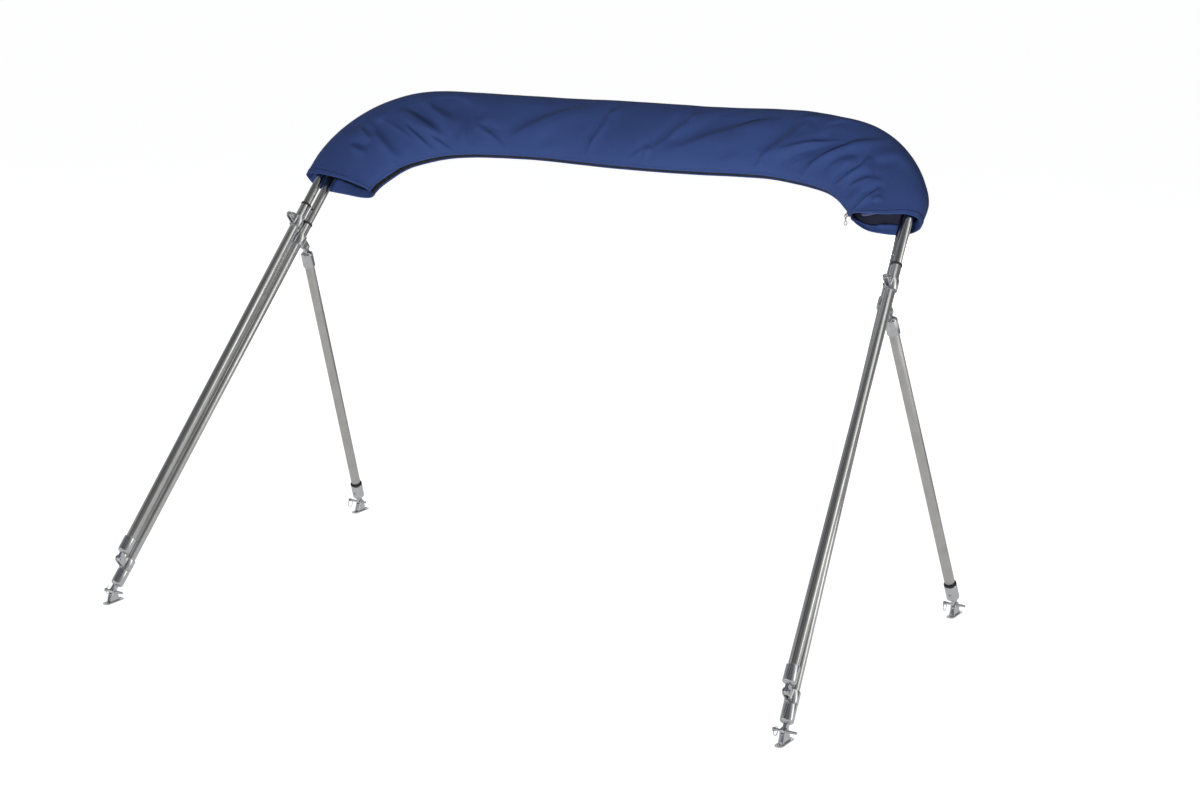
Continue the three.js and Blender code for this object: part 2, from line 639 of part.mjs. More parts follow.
// The canopy's cloth across the bow: a flap, round the main bow, to and fro, round the second bow.
function canopyLine(beside) {
  const hug = UPPER_RADIUS + (CANOPY.seat + CANOPY.thick / 2) / Math.cos(Math.PI / COARSE);
  const low = -hug;
  const high = beside.forward + hug;
  const degrees = THREE.MathUtils.degToRad;
  const line = [new THREE.Vector2(CANOPY.flap, CANOPY.flapForward)];
  for (const angle of [0, -30, -60, -90]) {
    line.push(new THREE.Vector2(hug * Math.cos(degrees(angle)), hug * Math.sin(degrees(angle))));
  }
  const pitch = (high - low) / (CANOPY.runs - 1);
  for (let run = 0; run < CANOPY.runs - 1; run += 1) {
    const turnAt = run % 2 === 0 ? CANOPY_TURNS[run / 2] : CANOPY.outerTurn;
    line.push(new THREE.Vector2(turnAt, low + run * pitch));
    line.push(new THREE.Vector2(turnAt, low + (run + 1) * pitch));
  }
  for (const angle of [90, 60, 30, 0]) {
    const out = beside.out + hug * Math.cos(degrees(angle));
    line.push(new THREE.Vector2(out, beside.forward + hug * Math.sin(degrees(angle))));
  }
  return line;
}

// The canopy ends one station short of each leg.
function canopy() {
  const stations = bendStations().slice(2, -2);
  const outlineAt = (distance) => ribbon(canopyLine(secondAt(distance)), CANOPY.thick);
  return piece("canopy", alongBow(stations, outlineAt), lining);
}

// The slider at the right mouth, with its bridge, and the pull with its two loops on the bridge.
function zipSlider() {
  const holder = new THREE.Group();
  const seat = bootPoint(SLIDER.place, Math.PI, SLIDER.sunk);
  const ahead = bootPoint(SLIDER.place + 0.004, Math.PI, SLIDER.sunk);
  const along = ahead.clone().sub(seat).setZ(0).normalize();
  const forward = new THREE.Vector3(0, 0, 1);
  const outwards = along.clone().cross(forward).normalize();
  const basis = new THREE.Matrix4().makeBasis(along, forward, outwards);

  const body = new THREE.BoxGeometry(SLIDER.length, SLIDER.width, SLIDER.body);
  body.translate(0, 0, SLIDER.body / 2);
  const bridgeZ = SLIDER.body + BRIDGE.rise;
  const bar = new THREE.BoxGeometry(2 * BRIDGE.halfSpan + BRIDGE.thick, BRIDGE.thick, BRIDGE.thick);
  bar.translate(0, 0, bridgeZ);
  const legs = [-1, 1].map((end) => {
    const leg = new THREE.BoxGeometry(BRIDGE.thick, BRIDGE.thick, BRIDGE.rise + BRIDGE.sunk);
    leg.translate(end * BRIDGE.halfSpan, 0, SLIDER.body + BRIDGE.rise / 2);
    return leg;
  });
  const slider = piece("zip_slider", join(body, bar, ...legs), zipBlack);
  slider.quaternion.setFromRotationMatrix(basis);
  slider.position.copy(seat);
  holder.add(slider);

  const up = new THREE.Vector3(0, Math.sin(LEAN), Math.cos(LEAN));
  const facing = along.clone().addScaledVector(up, -along.dot(up)).normalize();
  const drop = new THREE.Shape();
  drop.absarc(0, 0, PULL.head, 0, Math.PI, false);
  drop.absarc(0, -PULL.length, PULL.foot, Math.PI, 2 * Math.PI, false);
  drop.closePath();
  const eye = new THREE.Path();
  eye.absarc(0, 0, PULL.hole, 0, 2 * Math.PI, true);
  const loop = new THREE.Path();
  loop.absarc(0, -PULL.length, PULL.footHole, 0, 2 * Math.PI, true);
  drop.holes.push(eye, loop);
  const plate = new THREE.ExtrudeGeometry(drop, { depth: PULL.thick, bevelEnabled: false, curveSegments: 6 });
  plate.translate(0, 0, -PULL.thick / 2);
  const pull = piece("zip_pull", plate, dullMetal);
  const pullBasis = new THREE.Matrix4().makeBasis(up.clone().cross(facing), up, facing);
  pull.quaternion.setFromRotationMatrix(pullBasis);
  const hangs = PULL.hole - BRIDGE.thick - FIT;
  pull.position.copy(seat).addScaledVector(outwards, bridgeZ).addScaledVector(up, -hangs);
  holder.add(pull);
  return holder;
}

// A deck hinge: base plate with two countersunk holes and two ears for the pin.
function deckHinge(name, x, y) {
  const [halfX, halfY] = [HINGE.width / 2, HINGE.length / 2];
  const outline = new THREE.Shape();
  outline.absarc(halfX - HINGE.corner, -halfY + HINGE.corner, HINGE.corner, -Math.PI / 2, 0, false);
  outline.absarc(halfX - HINGE.corner, halfY - HINGE.corner, HINGE.corner, 0, Math.PI / 2, false);
  outline.absarc(-halfX + HINGE.corner, halfY - HINGE.corner, HINGE.corner, Math.PI / 2, Math.PI, false);
  outline.absarc(-halfX + HINGE.corner, -halfY + HINGE.corner, HINGE.corner, Math.PI, 1.5 * Math.PI, false);
  const depth = HINGE.thick;
  const plate = new THREE.ExtrudeGeometry(outline, { depth, bevelEnabled: false, curveSegments: 2 });
  const shape = earShape(HINGE.thick - 1, HINGE.rootHalf, PIN_HEIGHT, HINGE.tip, PIN.hole);
  const earX = (SLIDE.gap + SLIDE.ear) / 2;
  const body = join(plate, plateAcross(shape, SLIDE.ear, -earX, 4), plateAcross(shape, SLIDE.ear, earX, 4));
  const sinks = [-1, 1].map((end) => {
    const sink = turned([
      [0, -1],
      [SCREW.hole, -1],
      [SCREW.hole, SCREW.sinkFrom],
      [SCREW.sink, HINGE.thick + 0.1],
      [0, HINGE.thick + 0.1],
    ], SMALL);
    sink.rotateX(Math.PI / 2);
    sink.translate(0, end * HINGE.screw, 0);
    return sink;
  });
  const mesh = piece(name, cut(body, ...sinks), steel);
  mesh.position.set(x, y, 0);
  return mesh;
}

// A quick-release pin and the split ring through its head, turned the way the ring lies.
function releasePin(name, x, y, shift, swing) {
  const holder = new THREE.Group();
  holder.position.set(x + shift, y, PIN_HEIGHT);
  holder.rotation.x = THREE.MathUtils.degToRad(swing);
  const shaft = turned([
    [0, PIN.headFrom],
    [PIN.head - CHAMFER, PIN.headFrom],
    [PIN.head, PIN.headFrom + CHAMFER],
    [PIN.head, PIN.headTo - CHAMFER],
    [PIN.radius, PIN.headTo],
    [PIN.radius, PIN.tip - PIN_POINT.length],
    [PIN.radius - PIN_POINT.less, PIN.tip],
    [0, PIN.tip],
  ], SMALL);
  shaft.rotateZ(-Math.PI / 2);
  const hole = new THREE.CylinderGeometry(PIN.crossHole, PIN.crossHole, 4 * PIN.head, COARSE);
  hole.rotateX(Math.PI / 2);
  hole.translate(RING.x, 0, 0);
  holder.add(piece(`${name}_pin`, cut(shaft, hole), steel));
  const ring = new THREE.TorusGeometry(RING.radius, RING.wire, 5, FINE);
  ring.rotateY(Math.PI / 2);
  ring.translate(RING.x, RING.radius, 0);
  holder.add(piece(`${name}_ring`, ring, steel));
  return holder;
}

// A rear strut from its deck hinge up to the jaw slide on the main leg.
function strut(sideName) {
  const side = SECOND_LEGS[sideName].side;
  const holder = new THREE.Group();
  const foot = new THREE.Vector3(side * REAR_WIDTH / 2, REAR_DISTANCE, PIN_HEIGHT);
  const legTurn = new THREE.Euler(LEAN, 0, side * FLARE, "XYZ");
  const top = new THREE.Vector3(0, onLeg(STRUT_SLIDE_S), -SLIDE.reach).applyEuler(legTurn);
  top.add(new THREE.Vector3(side * WIDTH / 2, 0, PIN_HEIGHT));
  const bolt = X_AXIS.clone().applyEuler(legTurn);
  const up = top.clone().sub(foot);
  const length = up.length();
  up.normalize();
  holder.add(eyeEnd(`strut_foot_end_${sideName}`, foot, X_AXIS, up));
  holder.add(eyeEnd(`strut_top_end_${sideName}`, top, bolt, up.clone().negate()));
  const beside = new THREE.Group();
  const sideLean = lookAlong(beside, foot, X_AXIS, up);
  const follow = new THREE.Group();
  follow.rotation.z = -sideLean;
  const from = EYE.floor + FIT;
  const tube = turned([[0, from], [TUBE_RADIUS, from], [TUBE_RADIUS, length - from], [0, length - from]]);
  follow.add(piece(`strut_tube_${sideName}`, tube, satin));
  const collarFrom = EYE.top + FIT;
  follow.add(collarRing(`strut_collar_${sideName}`, COLLAR.strutInner, EYE.cap, collarFrom));
  follow.add(domedButton(`strut_button_${sideName}`, EYE.cap, BUTTON.strutPlace, 0));
  beside.add(follow);
  holder.add(beside);
  return holder;
}

const PIN_PLACES = {
  front_left: { x: -WIDTH / 2, y: 0, shift: 0, swing: -15 },
  front_right: { x: WIDTH / 2, y: 0, shift: -2, swing: -45 },
  rear_left: { x: -REAR_WIDTH / 2, y: REAR_DISTANCE, shift: -12, swing: -90 },
  rear_right: { x: REAR_WIDTH / 2, y: REAR_DISTANCE, shift: -4, swing: -90 },
};

const biminiTop = new THREE.Group();
const bowPlane = new THREE.Group();
bowPlane.position.z = PIN_HEIGHT;
bowPlane.rotation.x = LEAN;
bowPlane.add(upperBow("main_bow_top", MAIN_COLLAR_S, () => ({ out: 0, forward: 0 })));
bowPlane.add(upperBow("second_bow_top", SECOND_COLLAR_S, secondAt));
bowPlane.add(legPair("left"), legPair("right"));
bowPlane.add(bootFront(), bootBack(), zipTape(), canopy(), zipSlider());
biminiTop.add(bowPlane, strut("left"), strut("right"));
for (const [place, at] of Object.entries(PIN_PLACES)) {
  biminiTop.add(deckHinge(`${place}_deck_hinge`, at.x, at.y));
  biminiTop.add(releasePin(place, at.x, at.y, at.shift, at.swing));
}

// Stand the middle of the whole on the origin.
biminiTop.updateMatrixWorld(true);
const reach = new THREE.Box3().setFromObject(biminiTop, true);
biminiTop.position.set(-(reach.min.x + reach.max.x) / 2, -(reach.min.y + reach.max.y) / 2, -reach.min.z);

export default biminiTop;
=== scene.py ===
# %% [markdown]
# # A two-bow bimini top, folded back in its boot
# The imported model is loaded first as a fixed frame: it says where every piece is, and which rigid
# body it moves with. All pieces below are drawn in millimetres, and a matrix puts each of them in
# that frame, in metres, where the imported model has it.

# %% Load the frame
import math

import bpy
import numpy as np
from mathutils import Matrix, Vector


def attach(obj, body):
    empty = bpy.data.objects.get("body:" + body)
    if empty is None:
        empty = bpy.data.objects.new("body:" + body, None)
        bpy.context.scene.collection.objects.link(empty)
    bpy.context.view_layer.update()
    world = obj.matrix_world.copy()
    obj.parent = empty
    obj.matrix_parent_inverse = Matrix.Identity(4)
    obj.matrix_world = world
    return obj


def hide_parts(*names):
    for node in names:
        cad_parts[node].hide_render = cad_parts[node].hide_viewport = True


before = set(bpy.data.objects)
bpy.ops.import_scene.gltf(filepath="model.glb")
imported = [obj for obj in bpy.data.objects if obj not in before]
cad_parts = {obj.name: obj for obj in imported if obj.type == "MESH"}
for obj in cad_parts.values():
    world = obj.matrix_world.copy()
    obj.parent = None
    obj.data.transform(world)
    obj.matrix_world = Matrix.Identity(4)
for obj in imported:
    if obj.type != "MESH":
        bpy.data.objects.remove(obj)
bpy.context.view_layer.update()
MM = 0.001

# %% [markdown]
# ## The camera
# The photograph looks down on the frame from the front, a little from the right, with a long lens
# about six metres away. The camera comes first, so that each later piece can be judged in its view.

# %% Camera
LOOKS_DOWN, TURNED = 13.38, 31.102
camera_data = bpy.data.cameras.new("photo_camera")
camera_data.lens = 75.16
camera_data.sensor_width = 36
camera_data.clip_end = 200
camera = bpy.data.objects.new("photo_camera", camera_data)
camera.location = (3.1927, -4.9899, 1.9423)
camera.rotation_euler = (math.radians(90 - LOOKS_DOWN), 0, math.radians(TURNED))
bpy.context.collection.objects.link(camera)
bpy.context.scene.camera = camera
print("camera", camera_data.lens, "mm lens,", round(camera.location.length, 1), "m away")

# %% [markdown]
# ## Floor and light
# A wide pale floor and a white sky fill the view. Polished steel shows only what stands around it,
# so both of them answer a reflection with something else than the camera sees, and a Light Path
# node tells the two apart. In a reflection the sky has grey and dark sectors between bright ones,
# like the cards round a photographer's table, and the floor is a grey card. They give each tube its
# long dark and white lines.

# %% Node helpers


def add_node(tree, kind, inputs=None, **settings):
    """Adds a node, sets its properties, and sets or links its inputs by name or number."""
    node = tree.nodes.new(kind)
    for key, value in settings.items():
        setattr(node, key, value)
    for key, value in (inputs or {}).items():
        if isinstance(value, bpy.types.NodeSocket):
            tree.links.new(value, node.inputs[key])
        else:
            node.inputs[key].default_value = value
    return node


def set_ramp(node, stops):
    """Gives a colour ramp its stops, as (place, grey or colour)."""
    ramp = node.color_ramp
    while len(ramp.elements) < len(stops):
        ramp.elements.new(0.5)
    for element, (place, shade) in zip(ramp.elements, stops):
        element.position = place
        element.color = (*shade, 1) if hasattr(shade, "__len__") else (shade, shade, shade, 1)


def new_look(name):
    """A new material, with its node tree and its Principled shader."""
    look = bpy.data.materials.new(name)
    look.use_nodes = True
    return look, look.node_tree, look.node_tree.nodes["Principled BSDF"]


# %% Floor: a card in reflections that is lighter in front of the part and far out on its right
bpy.ops.object.select_all(action="DESELECT")
bpy.ops.mesh.primitive_plane_add(size=120, location=(0, 20, -0.0006))
floor = bpy.context.object
floor.name = "studio_floor"
bpy.ops.object.transform_apply(location=True, rotation=False, scale=False)
floor_look, floor_tree, floor_shader = new_look("pale_floor")
floor_shader.inputs["Base Color"].default_value = (0.55, 0.55, 0.55, 1)
floor_shader.inputs["Roughness"].default_value = 0.95
floor_shader.inputs["Specular IOR Level"].default_value = 0.1
floor_shader.inputs["Emission Color"].default_value = (1, 1, 1, 1)
floor_place = add_node(floor_tree, "ShaderNodeTexCoord").outputs["Object"]
floor_parts = add_node(floor_tree, "ShaderNodeSeparateXYZ", {0: floor_place})
card = add_node(floor_tree, "ShaderNodeMapRange", {
    "Value": floor_parts.outputs["Y"], "From Min": 0.8, "From Max": 2.0, "To Min": 0.5, "To Max": 0.16,
})
far_right = add_node(floor_tree, "ShaderNodeMapRange", {
    "Value": floor_parts.outputs["X"], "From Min": 3.0, "From Max": 3.6, "To Min": 0.0, "To Max": 0.42,
})
card_glow = add_node(
    floor_tree, "ShaderNodeMath", {0: card.outputs["Result"], 1: far_right.outputs["Result"]}, operation="ADD"
)
grey_card = add_node(floor_tree, "ShaderNodeEmission", {"Strength": card_glow.outputs[0]})
floor_rays = add_node(floor_tree, "ShaderNodeLightPath").outputs
ROOM_GLOW, CAMERA_GLOW = 0.42, 0.5
glow = add_node(
    floor_tree, "ShaderNodeMath", {0: floor_rays["Is Camera Ray"], 1: CAMERA_GLOW, 2: ROOM_GLOW},
    operation="MULTIPLY_ADD",
)
floor_tree.links.new(glow.outputs[0], floor_shader.inputs["Emission Strength"])
floor_mix = add_node(
    floor_tree, "ShaderNodeMixShader",
    {0: floor_rays["Is Glossy Ray"], 1: floor_shader.outputs[0], 2: grey_card.outputs[0]},
)
floor_tree.links.new(floor_mix.outputs[0], floor_tree.nodes["Material Output"].inputs["Surface"])
floor.data.materials.append(floor_look)
print("floor", [round(side) for side in floor.dimensions], "m")

# %% Sky: shades round the horizon, from the left (0) by the front (0.25) and the right (0.5) to the back
world = bpy.data.worlds.new("studio")
bpy.context.scene.world = world
world.use_nodes = True
sky = world.node_tree
sky.nodes.clear()
direction = add_node(sky, "ShaderNodeTexCoord").outputs["Generated"]
parts = add_node(sky, "ShaderNodeSeparateXYZ", {0: direction})
turn = add_node(sky, "ShaderNodeMath", {0: parts.outputs["Y"], 1: parts.outputs["X"]}, operation="ARCTAN2")
round_about = add_node(
    sky, "ShaderNodeMapRange", {"Value": turn.outputs[0], "From Min": -math.pi, "From Max": math.pi}
)
low = add_node(sky, "ShaderNodeValToRGB", {"Fac": round_about.outputs["Result"]})
set_ramp(low, [
    (0.00, 0.30), (0.07, 0.35), (0.11, 0.75), (0.20, 0.75), (0.25, 0.30), (0.36, 0.16), (0.43, 0.25),
    (0.46, 0.34), (0.495, (0.30, 0.29, 0.25)), (0.506, 1.3), (0.562, 1.6), (0.572, 0.18), (0.66, 0.16),
    (0.74, 0.24), (0.80, 0.8), (0.87, 0.8), (0.91, 0.30), (1.00, 0.30),
])
high = add_node(sky, "ShaderNodeValToRGB", {"Fac": round_about.outputs["Result"]})
set_ramp(high, [
    (0.00, 0.30), (0.03, 0.26), (0.045, 0.05), (0.07, (0.05, 0.06, 0.10)), (0.09, (0.20, 0.24, 0.30)),
    (0.13, 0.20), (0.15, 0.06), (0.20, 0.08), (0.26, 0.17), (0.33, 0.10), (0.39, 0.14), (0.43, 0.22),
    (0.46, (0.38, 0.37, 0.31)), (0.49, 0.26), (0.51, 1.0), (0.56, 1.0), (0.58, 0.2), (0.80, 0.2),
    (0.90, 0.3), (1.00, 0.30),
])
height = add_node(sky, "ShaderNodeMapRange", {"Value": parts.outputs["Z"], "From Min": 0.36, "From Max": 0.5})
dome = add_node(
    sky, "ShaderNodeMix", {0: height.outputs["Result"], 6: low.outputs["Color"], 7: high.outputs["Color"]},
    data_type="RGBA",
)
sky_rays = add_node(sky, "ShaderNodeLightPath").outputs
around = add_node(sky, "ShaderNodeMix", {0: sky_rays["Is Glossy Ray"], 7: dome.outputs[2]}, data_type="RGBA")
around.inputs[6].default_value = (0.11, 0.112, 0.118, 1)
in_view = add_node(
    sky, "ShaderNodeMix", {0: sky_rays["Is Camera Ray"], 6: around.outputs[2]}, data_type="RGBA"
)
in_view.inputs[7].default_value = (1, 1, 1, 1)
backdrop = add_node(sky, "ShaderNodeBackground", {"Color": in_view.outputs[2], "Strength": 1.0})
add_node(sky, "ShaderNodeOutputWorld", {"Surface": backdrop.outputs[0]})
print("sky nodes", len(sky.nodes))

# %% [markdown]
# Four lamps light the cloth. The key lamp is small and stands low in front and to the right, so
# that it grazes the folds and each of them gets a lit and a dark side. The others are weak, or
# light the back. None of them is seen in reflections, because the sky does that.

# %% Lamps


def soft_light(name, place, aim, size, watts):
    """A rectangular area lamp that points from its place to its aim."""
    data = bpy.data.lights.new(name, "AREA")
    data.shape = "RECTANGLE"
    data.size, data.size_y = size
    data.energy = watts
    lamp = bpy.data.objects.new(name, data)
    lamp.location = place
    lamp.rotation_euler = (Vector(aim) - Vector(place)).to_track_quat("-Z", "Y").to_euler()
    lamp.visible_glossy = False
    bpy.context.collection.objects.link(lamp)


soft_light("key_light", (2.0, -5.8, 0.4), (0, 0.2, 1.0), (1.2, 0.5), 460)
soft_light("side_light", (-4.2, -1.6, 2.4), (0, 0.2, 0.8), (1.2, 2.4), 14)
soft_light("top_light", (0.6, 2.2, 4.2), (0, 0.3, 0.9), (3.0, 1.6), 34)
soft_light("back_light", (-1.5, 5.6, 0.6), (0, 0.3, 1.0), (2.0, 0.7), 170)
bpy.context.scene.view_settings.view_transform = "Standard"
print("lamps", [lamp.name for lamp in bpy.data.lights])

# %% [markdown]
# ## Finishes
# The tubes and castings are polished stainless steel: almost a mirror, but handled, so the gloss
# varies a little in soft patches and the surface ripples a hair. The cloth is a plain woven
# polyester. What more than one finish uses is a node group, with its own values in each material.

# %% Group: handled surface


def new_group(name, inputs, outputs):
    """Starts a shader node group; inputs and outputs are {name: (socket type, default)}."""
    group = bpy.data.node_groups.new(name, "ShaderNodeTree")
    for label, (kind, default) in inputs.items():
        socket = group.interface.new_socket(label, in_out="INPUT", socket_type=kind)
        if default is not None:
            socket.default_value = default
    for label, kind in outputs.items():
        group.interface.new_socket(label, in_out="OUTPUT", socket_type=kind)
    start = group.nodes.new("NodeGroupInput")
    end = group.nodes.new("NodeGroupOutput")
    return group, start.outputs, end.inputs


handled, given, result = new_group(
    "handled_surface",
    {
        "Place": ("NodeSocketVector", None),
        "Base": ("NodeSocketColor", (0.8, 0.8, 0.8, 1)),
        "Tint": ("NodeSocketColor", (0.7, 0.7, 0.7, 1)),
        "Gloss": ("NodeSocketFloat", 0.15),
        "Patchiness": ("NodeSocketFloat", 0.1),
        "Patch size": ("NodeSocketFloat", 30.0),
        "Grain size": ("NodeSocketFloat", 400.0),
        "Ripple": ("NodeSocketFloat", 0.1),
    },
    {"Color": "NodeSocketColor", "Roughness": "NodeSocketFloat", "Normal": "NodeSocketVector"},
)
patches = add_node(
    handled, "ShaderNodeTexNoise",
    {"Vector": given["Place"], "Scale": given["Patch size"], "Detail": 5.0, "Roughness": 0.6},
)
grain = add_node(
    handled, "ShaderNodeTexNoise", {"Vector": given["Place"], "Scale": given["Grain size"], "Detail": 3.0}
)
spread = add_node(
    handled, "ShaderNodeMapRange",
    {"Value": patches.outputs["Fac"], "From Min": 0.3, "From Max": 0.75, "To Min": 0.0, "To Max": 1.0},
)
duller = add_node(
    handled, "ShaderNodeMath", {0: spread.outputs["Result"], 1: given["Patchiness"], 2: given["Gloss"]},
    operation="MULTIPLY_ADD",
)
shade = add_node(
    handled, "ShaderNodeMix", {0: spread.outputs["Result"], 6: given["Base"], 7: given["Tint"]},
    data_type="RGBA",
)
both = add_node(
    handled, "ShaderNodeMath", {0: patches.outputs["Fac"], 1: grain.outputs["Fac"]}, operation="ADD"
)
ripple = add_node(
    handled, "ShaderNodeBump",
    {"Strength": given["Ripple"], "Distance": 0.0006, "Height": both.outputs[0]},
)
handled.links.new(shade.outputs[2], result["Color"])
handled.links.new(duller.outputs[0], result["Roughness"])
handled.links.new(ripple.outputs["Normal"], result["Normal"])
print("group", handled.name, "with", len(handled.nodes), "nodes")

# %% Steel and plastic


def plug_in(tree, group, shader):
    """Connects a group's colour, roughness and normal to the shader."""
    for label, socket in (("Color", "Base Color"), ("Roughness", "Roughness"), ("Normal", "Normal")):
        tree.links.new(group.outputs[label], shader.inputs[socket])


def handled_finish(name, metallic, **values):
    """A hard finish from the handled surface group, with its own values."""
    look, tree, shader = new_look(name)
    shader.inputs["Metallic"].default_value = metallic
    place = add_node(tree, "ShaderNodeTexCoord").outputs["Object"]
    group = add_node(tree, "ShaderNodeGroup", {"Place": place}, node_tree=handled)
    for key, value in values.items():
        group.inputs[key.replace("_", " ")].default_value = value
    plug_in(tree, group, shader)
    return look


polished = handled_finish(
    "polished_tube", 1, Base=(0.78, 0.78, 0.775, 1), Tint=(0.66, 0.66, 0.65, 1), Gloss=0.13,
    Patchiness=0.08, Patch_size=38.0, Grain_size=700.0, Ripple=0.12,
)
casting_steel = handled_finish(
    "polished_casting", 1, Base=(0.84, 0.85, 0.87, 1), Tint=(0.70, 0.71, 0.73, 1), Gloss=0.045,
    Patchiness=0.12, Patch_size=70.0, Grain_size=900.0, Ripple=0.16,
)
satin = handled_finish(
    "satin_stainless", 1, Base=(0.74, 0.735, 0.72, 1), Tint=(0.62, 0.615, 0.6, 1), Gloss=0.24,
    Patchiness=0.14, Patch_size=26.0, Grain_size=1500.0, Ripple=0.2,
)
moulded = handled_finish(
    "moulded_black", 0, Base=(0.012, 0.012, 0.013, 1), Tint=(0.03, 0.03, 0.032, 1), Gloss=0.38,
    Patchiness=0.2, Patch_size=60.0, Grain_size=2600.0, Ripple=0.25,
)
nickel = handled_finish(
    "nickel_pull", 1, Base=(0.5, 0.5, 0.5, 1), Tint=(0.3, 0.3, 0.31, 1), Gloss=0.22,
    Patchiness=0.15, Patch_size=120.0, Grain_size=1600.0, Ripple=0.15,
)

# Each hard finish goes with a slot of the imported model.
TUBE_STEEL, CAST_STEEL = (polished, "polished_steel"), (casting_steel, "polished_steel")
SATIN_STEEL, COLLAR_PLASTIC = (satin, "satin_steel"), (moulded, "collar_plastic")
SLIDER_PLASTIC, PULL_METAL = (moulded, "zip_slider"), (nickel, "pull_metal")
print("hard finishes", [look.name for look in (polished, casting_steel, satin, moulded, nickel)])

# %% [markdown]
# ## Woven cloth
# A plain weave passes each thread over one and under the next. Two sine waves, half a thread out
# of step, give that height, and the same waves paint shade into the hollows where the threads dip
# under. Uneven yarn and soft fading keep it from looking printed. The weave follows the cloth's own
# UV map, which is laid out in metres.

# %% Group: plain weave
weave, given, result = new_group(
    "plain_weave",
    {
        "Cloth": ("NodeSocketVector", None),
        "Place": ("NodeSocketVector", None),
        "Yarn": ("NodeSocketColor", (0.04, 0.07, 0.2, 1)),
        "Shade": ("NodeSocketColor", (0.02, 0.03, 0.1, 1)),
        "Threads per metre": ("NodeSocketFloat", 1000.0),
        "Relief": ("NodeSocketFloat", 0.3),
    },
    {"Color": "NodeSocketColor", "Roughness": "NodeSocketFloat", "Normal": "NodeSocketVector"},
)
scaled = add_node(weave, "ShaderNodeVectorMath", {0: given["Cloth"]}, operation="SCALE")
weave.links.new(given["Threads per metre"], scaled.inputs["Scale"])
thread = add_node(weave, "ShaderNodeSeparateXYZ", {0: scaled.outputs[0]})


def wave(socket):
    """A sine that turns once every two threads."""
    turned_on = add_node(weave, "ShaderNodeMath", {0: socket, 1: math.pi}, operation="MULTIPLY")
    return add_node(weave, "ShaderNodeMath", {0: turned_on.outputs[0]}, operation="SINE").outputs[0]


warp, weft = wave(thread.outputs["X"]), wave(thread.outputs["Y"])
crossing = add_node(weave, "ShaderNodeMath", {0: warp, 1: weft}, operation="MULTIPLY")
over = add_node(weave, "ShaderNodeMath", {0: crossing.outputs[0]}, operation="ABSOLUTE")
slubs = add_node(
    weave, "ShaderNodeTexNoise", {"Vector": given["Cloth"], "Scale": 260.0, "Detail": 4.0, "Roughness": 0.7}
)
fading = add_node(
    weave, "ShaderNodeTexNoise", {"Vector": given["Place"], "Scale": 5.0, "Detail": 4.0, "Roughness": 0.55}
)
# Painted shade: the colour goes towards Shade in the hollows where the threads dip under each other. Uneven
# yarn and soft fading then add patches of darker and lighter yarn.
dark = add_node(weave, "ShaderNodeMath", {0: over.outputs[0], 1: -0.35, 2: 0.35}, operation="MULTIPLY_ADD")
uneven = add_node(
    weave, "ShaderNodeMath", {0: slubs.outputs["Fac"], 1: 0.35, 2: dark.outputs[0]}, operation="MULTIPLY_ADD"
)
tone_and_hollow_shade = add_node(
    weave, "ShaderNodeMath", {0: fading.outputs["Fac"], 1: 0.5, 2: uneven.outputs[0]},
    operation="MULTIPLY_ADD",
)
TONES = {"Value": tone_and_hollow_shade.outputs[0], "From Min": 0.2, "From Max": 0.85}
shading = add_node(weave, "ShaderNodeMapRange", TONES)
gloss = add_node(weave, "ShaderNodeMapRange", {**TONES, "To Min": 0.55, "To Max": 0.75})
tone = add_node(
    weave, "ShaderNodeMix", {0: shading.outputs["Result"], 6: given["Yarn"], 7: given["Shade"]},
    data_type="RGBA",
)
height = add_node(
    weave, "ShaderNodeMath", {0: slubs.outputs["Fac"], 1: 0.6, 2: over.outputs[0]}, operation="MULTIPLY_ADD"
)
relief = add_node(
    weave, "ShaderNodeBump", {"Strength": given["Relief"], "Distance": 0.0003, "Height": height.outputs[0]}
)
weave.links.new(tone.outputs[2], result["Color"])
weave.links.new(gloss.outputs["Result"], result["Roughness"])
weave.links.new(relief.outputs["Normal"], result["Normal"])
print("group", weave.name, "with", len(weave.nodes), "nodes")

# %% Cloth finishes
THREADS = 900.0


def cloth_finish(name, yarn, shade, relief, sheen, sheen_tint=(0.6, 0.7, 1.0), threads=THREADS):
    """A woven finish: the colour of its yarn's top, a darker colour painted as shade in its hollows and also
    used for darker yarn, its relief and its sheen.
    """
    look, tree, shader = new_look(name)
    shader.inputs["Specular IOR Level"].default_value = 0.15
    shader.inputs["Sheen Weight"].default_value = sheen
    shader.inputs["Sheen Roughness"].default_value = 0.35
    shader.inputs["Sheen Tint"].default_value = (*sheen_tint, 1)
    places = add_node(tree, "ShaderNodeTexCoord").outputs
    group = add_node(tree, "ShaderNodeGroup", {
        "Cloth": places["UV"], "Place": places["Object"], "Yarn": (*yarn, 1), "Shade": (*shade, 1),
        "Threads per metre": threads, "Relief": relief,
    }, node_tree=weave)
    plug_in(tree, group, shader)
    return look


boot_cloth = cloth_finish("boot_canvas", (0.036, 0.066, 0.198), (0.024, 0.043, 0.133), 0.35, 0.06)
# The boot's inner face: the coating's grey made darker, as painted shade for the inside of the boot's mouths.
coating_and_painted_shade = cloth_finish("boot_canvas_back", (0.028, 0.031, 0.052), (0.018, 0.02, 0.036), 0.2, 0.1)
canopy_cloth = cloth_finish("canopy_canvas", (0.085, 0.095, 0.19), (0.05, 0.056, 0.12), 0.3, 0.2)
thread_finish = handled_finish(
    "sewing_thread", 0, Base=(0.045, 0.07, 0.2, 1), Tint=(0.03, 0.045, 0.13, 1), Gloss=0.5,
    Patchiness=0.2, Patch_size=90.0, Grain_size=3000.0, Ripple=0.3,
)
tape_finish = cloth_finish(
    "zip_tape_weave", (0.014, 0.014, 0.016), (0.007, 0.007, 0.008), 0.4, 0.1, (1.0, 1.0, 1.0), 1600.0
)
print("finishes", sorted(look.name for look in bpy.data.materials))

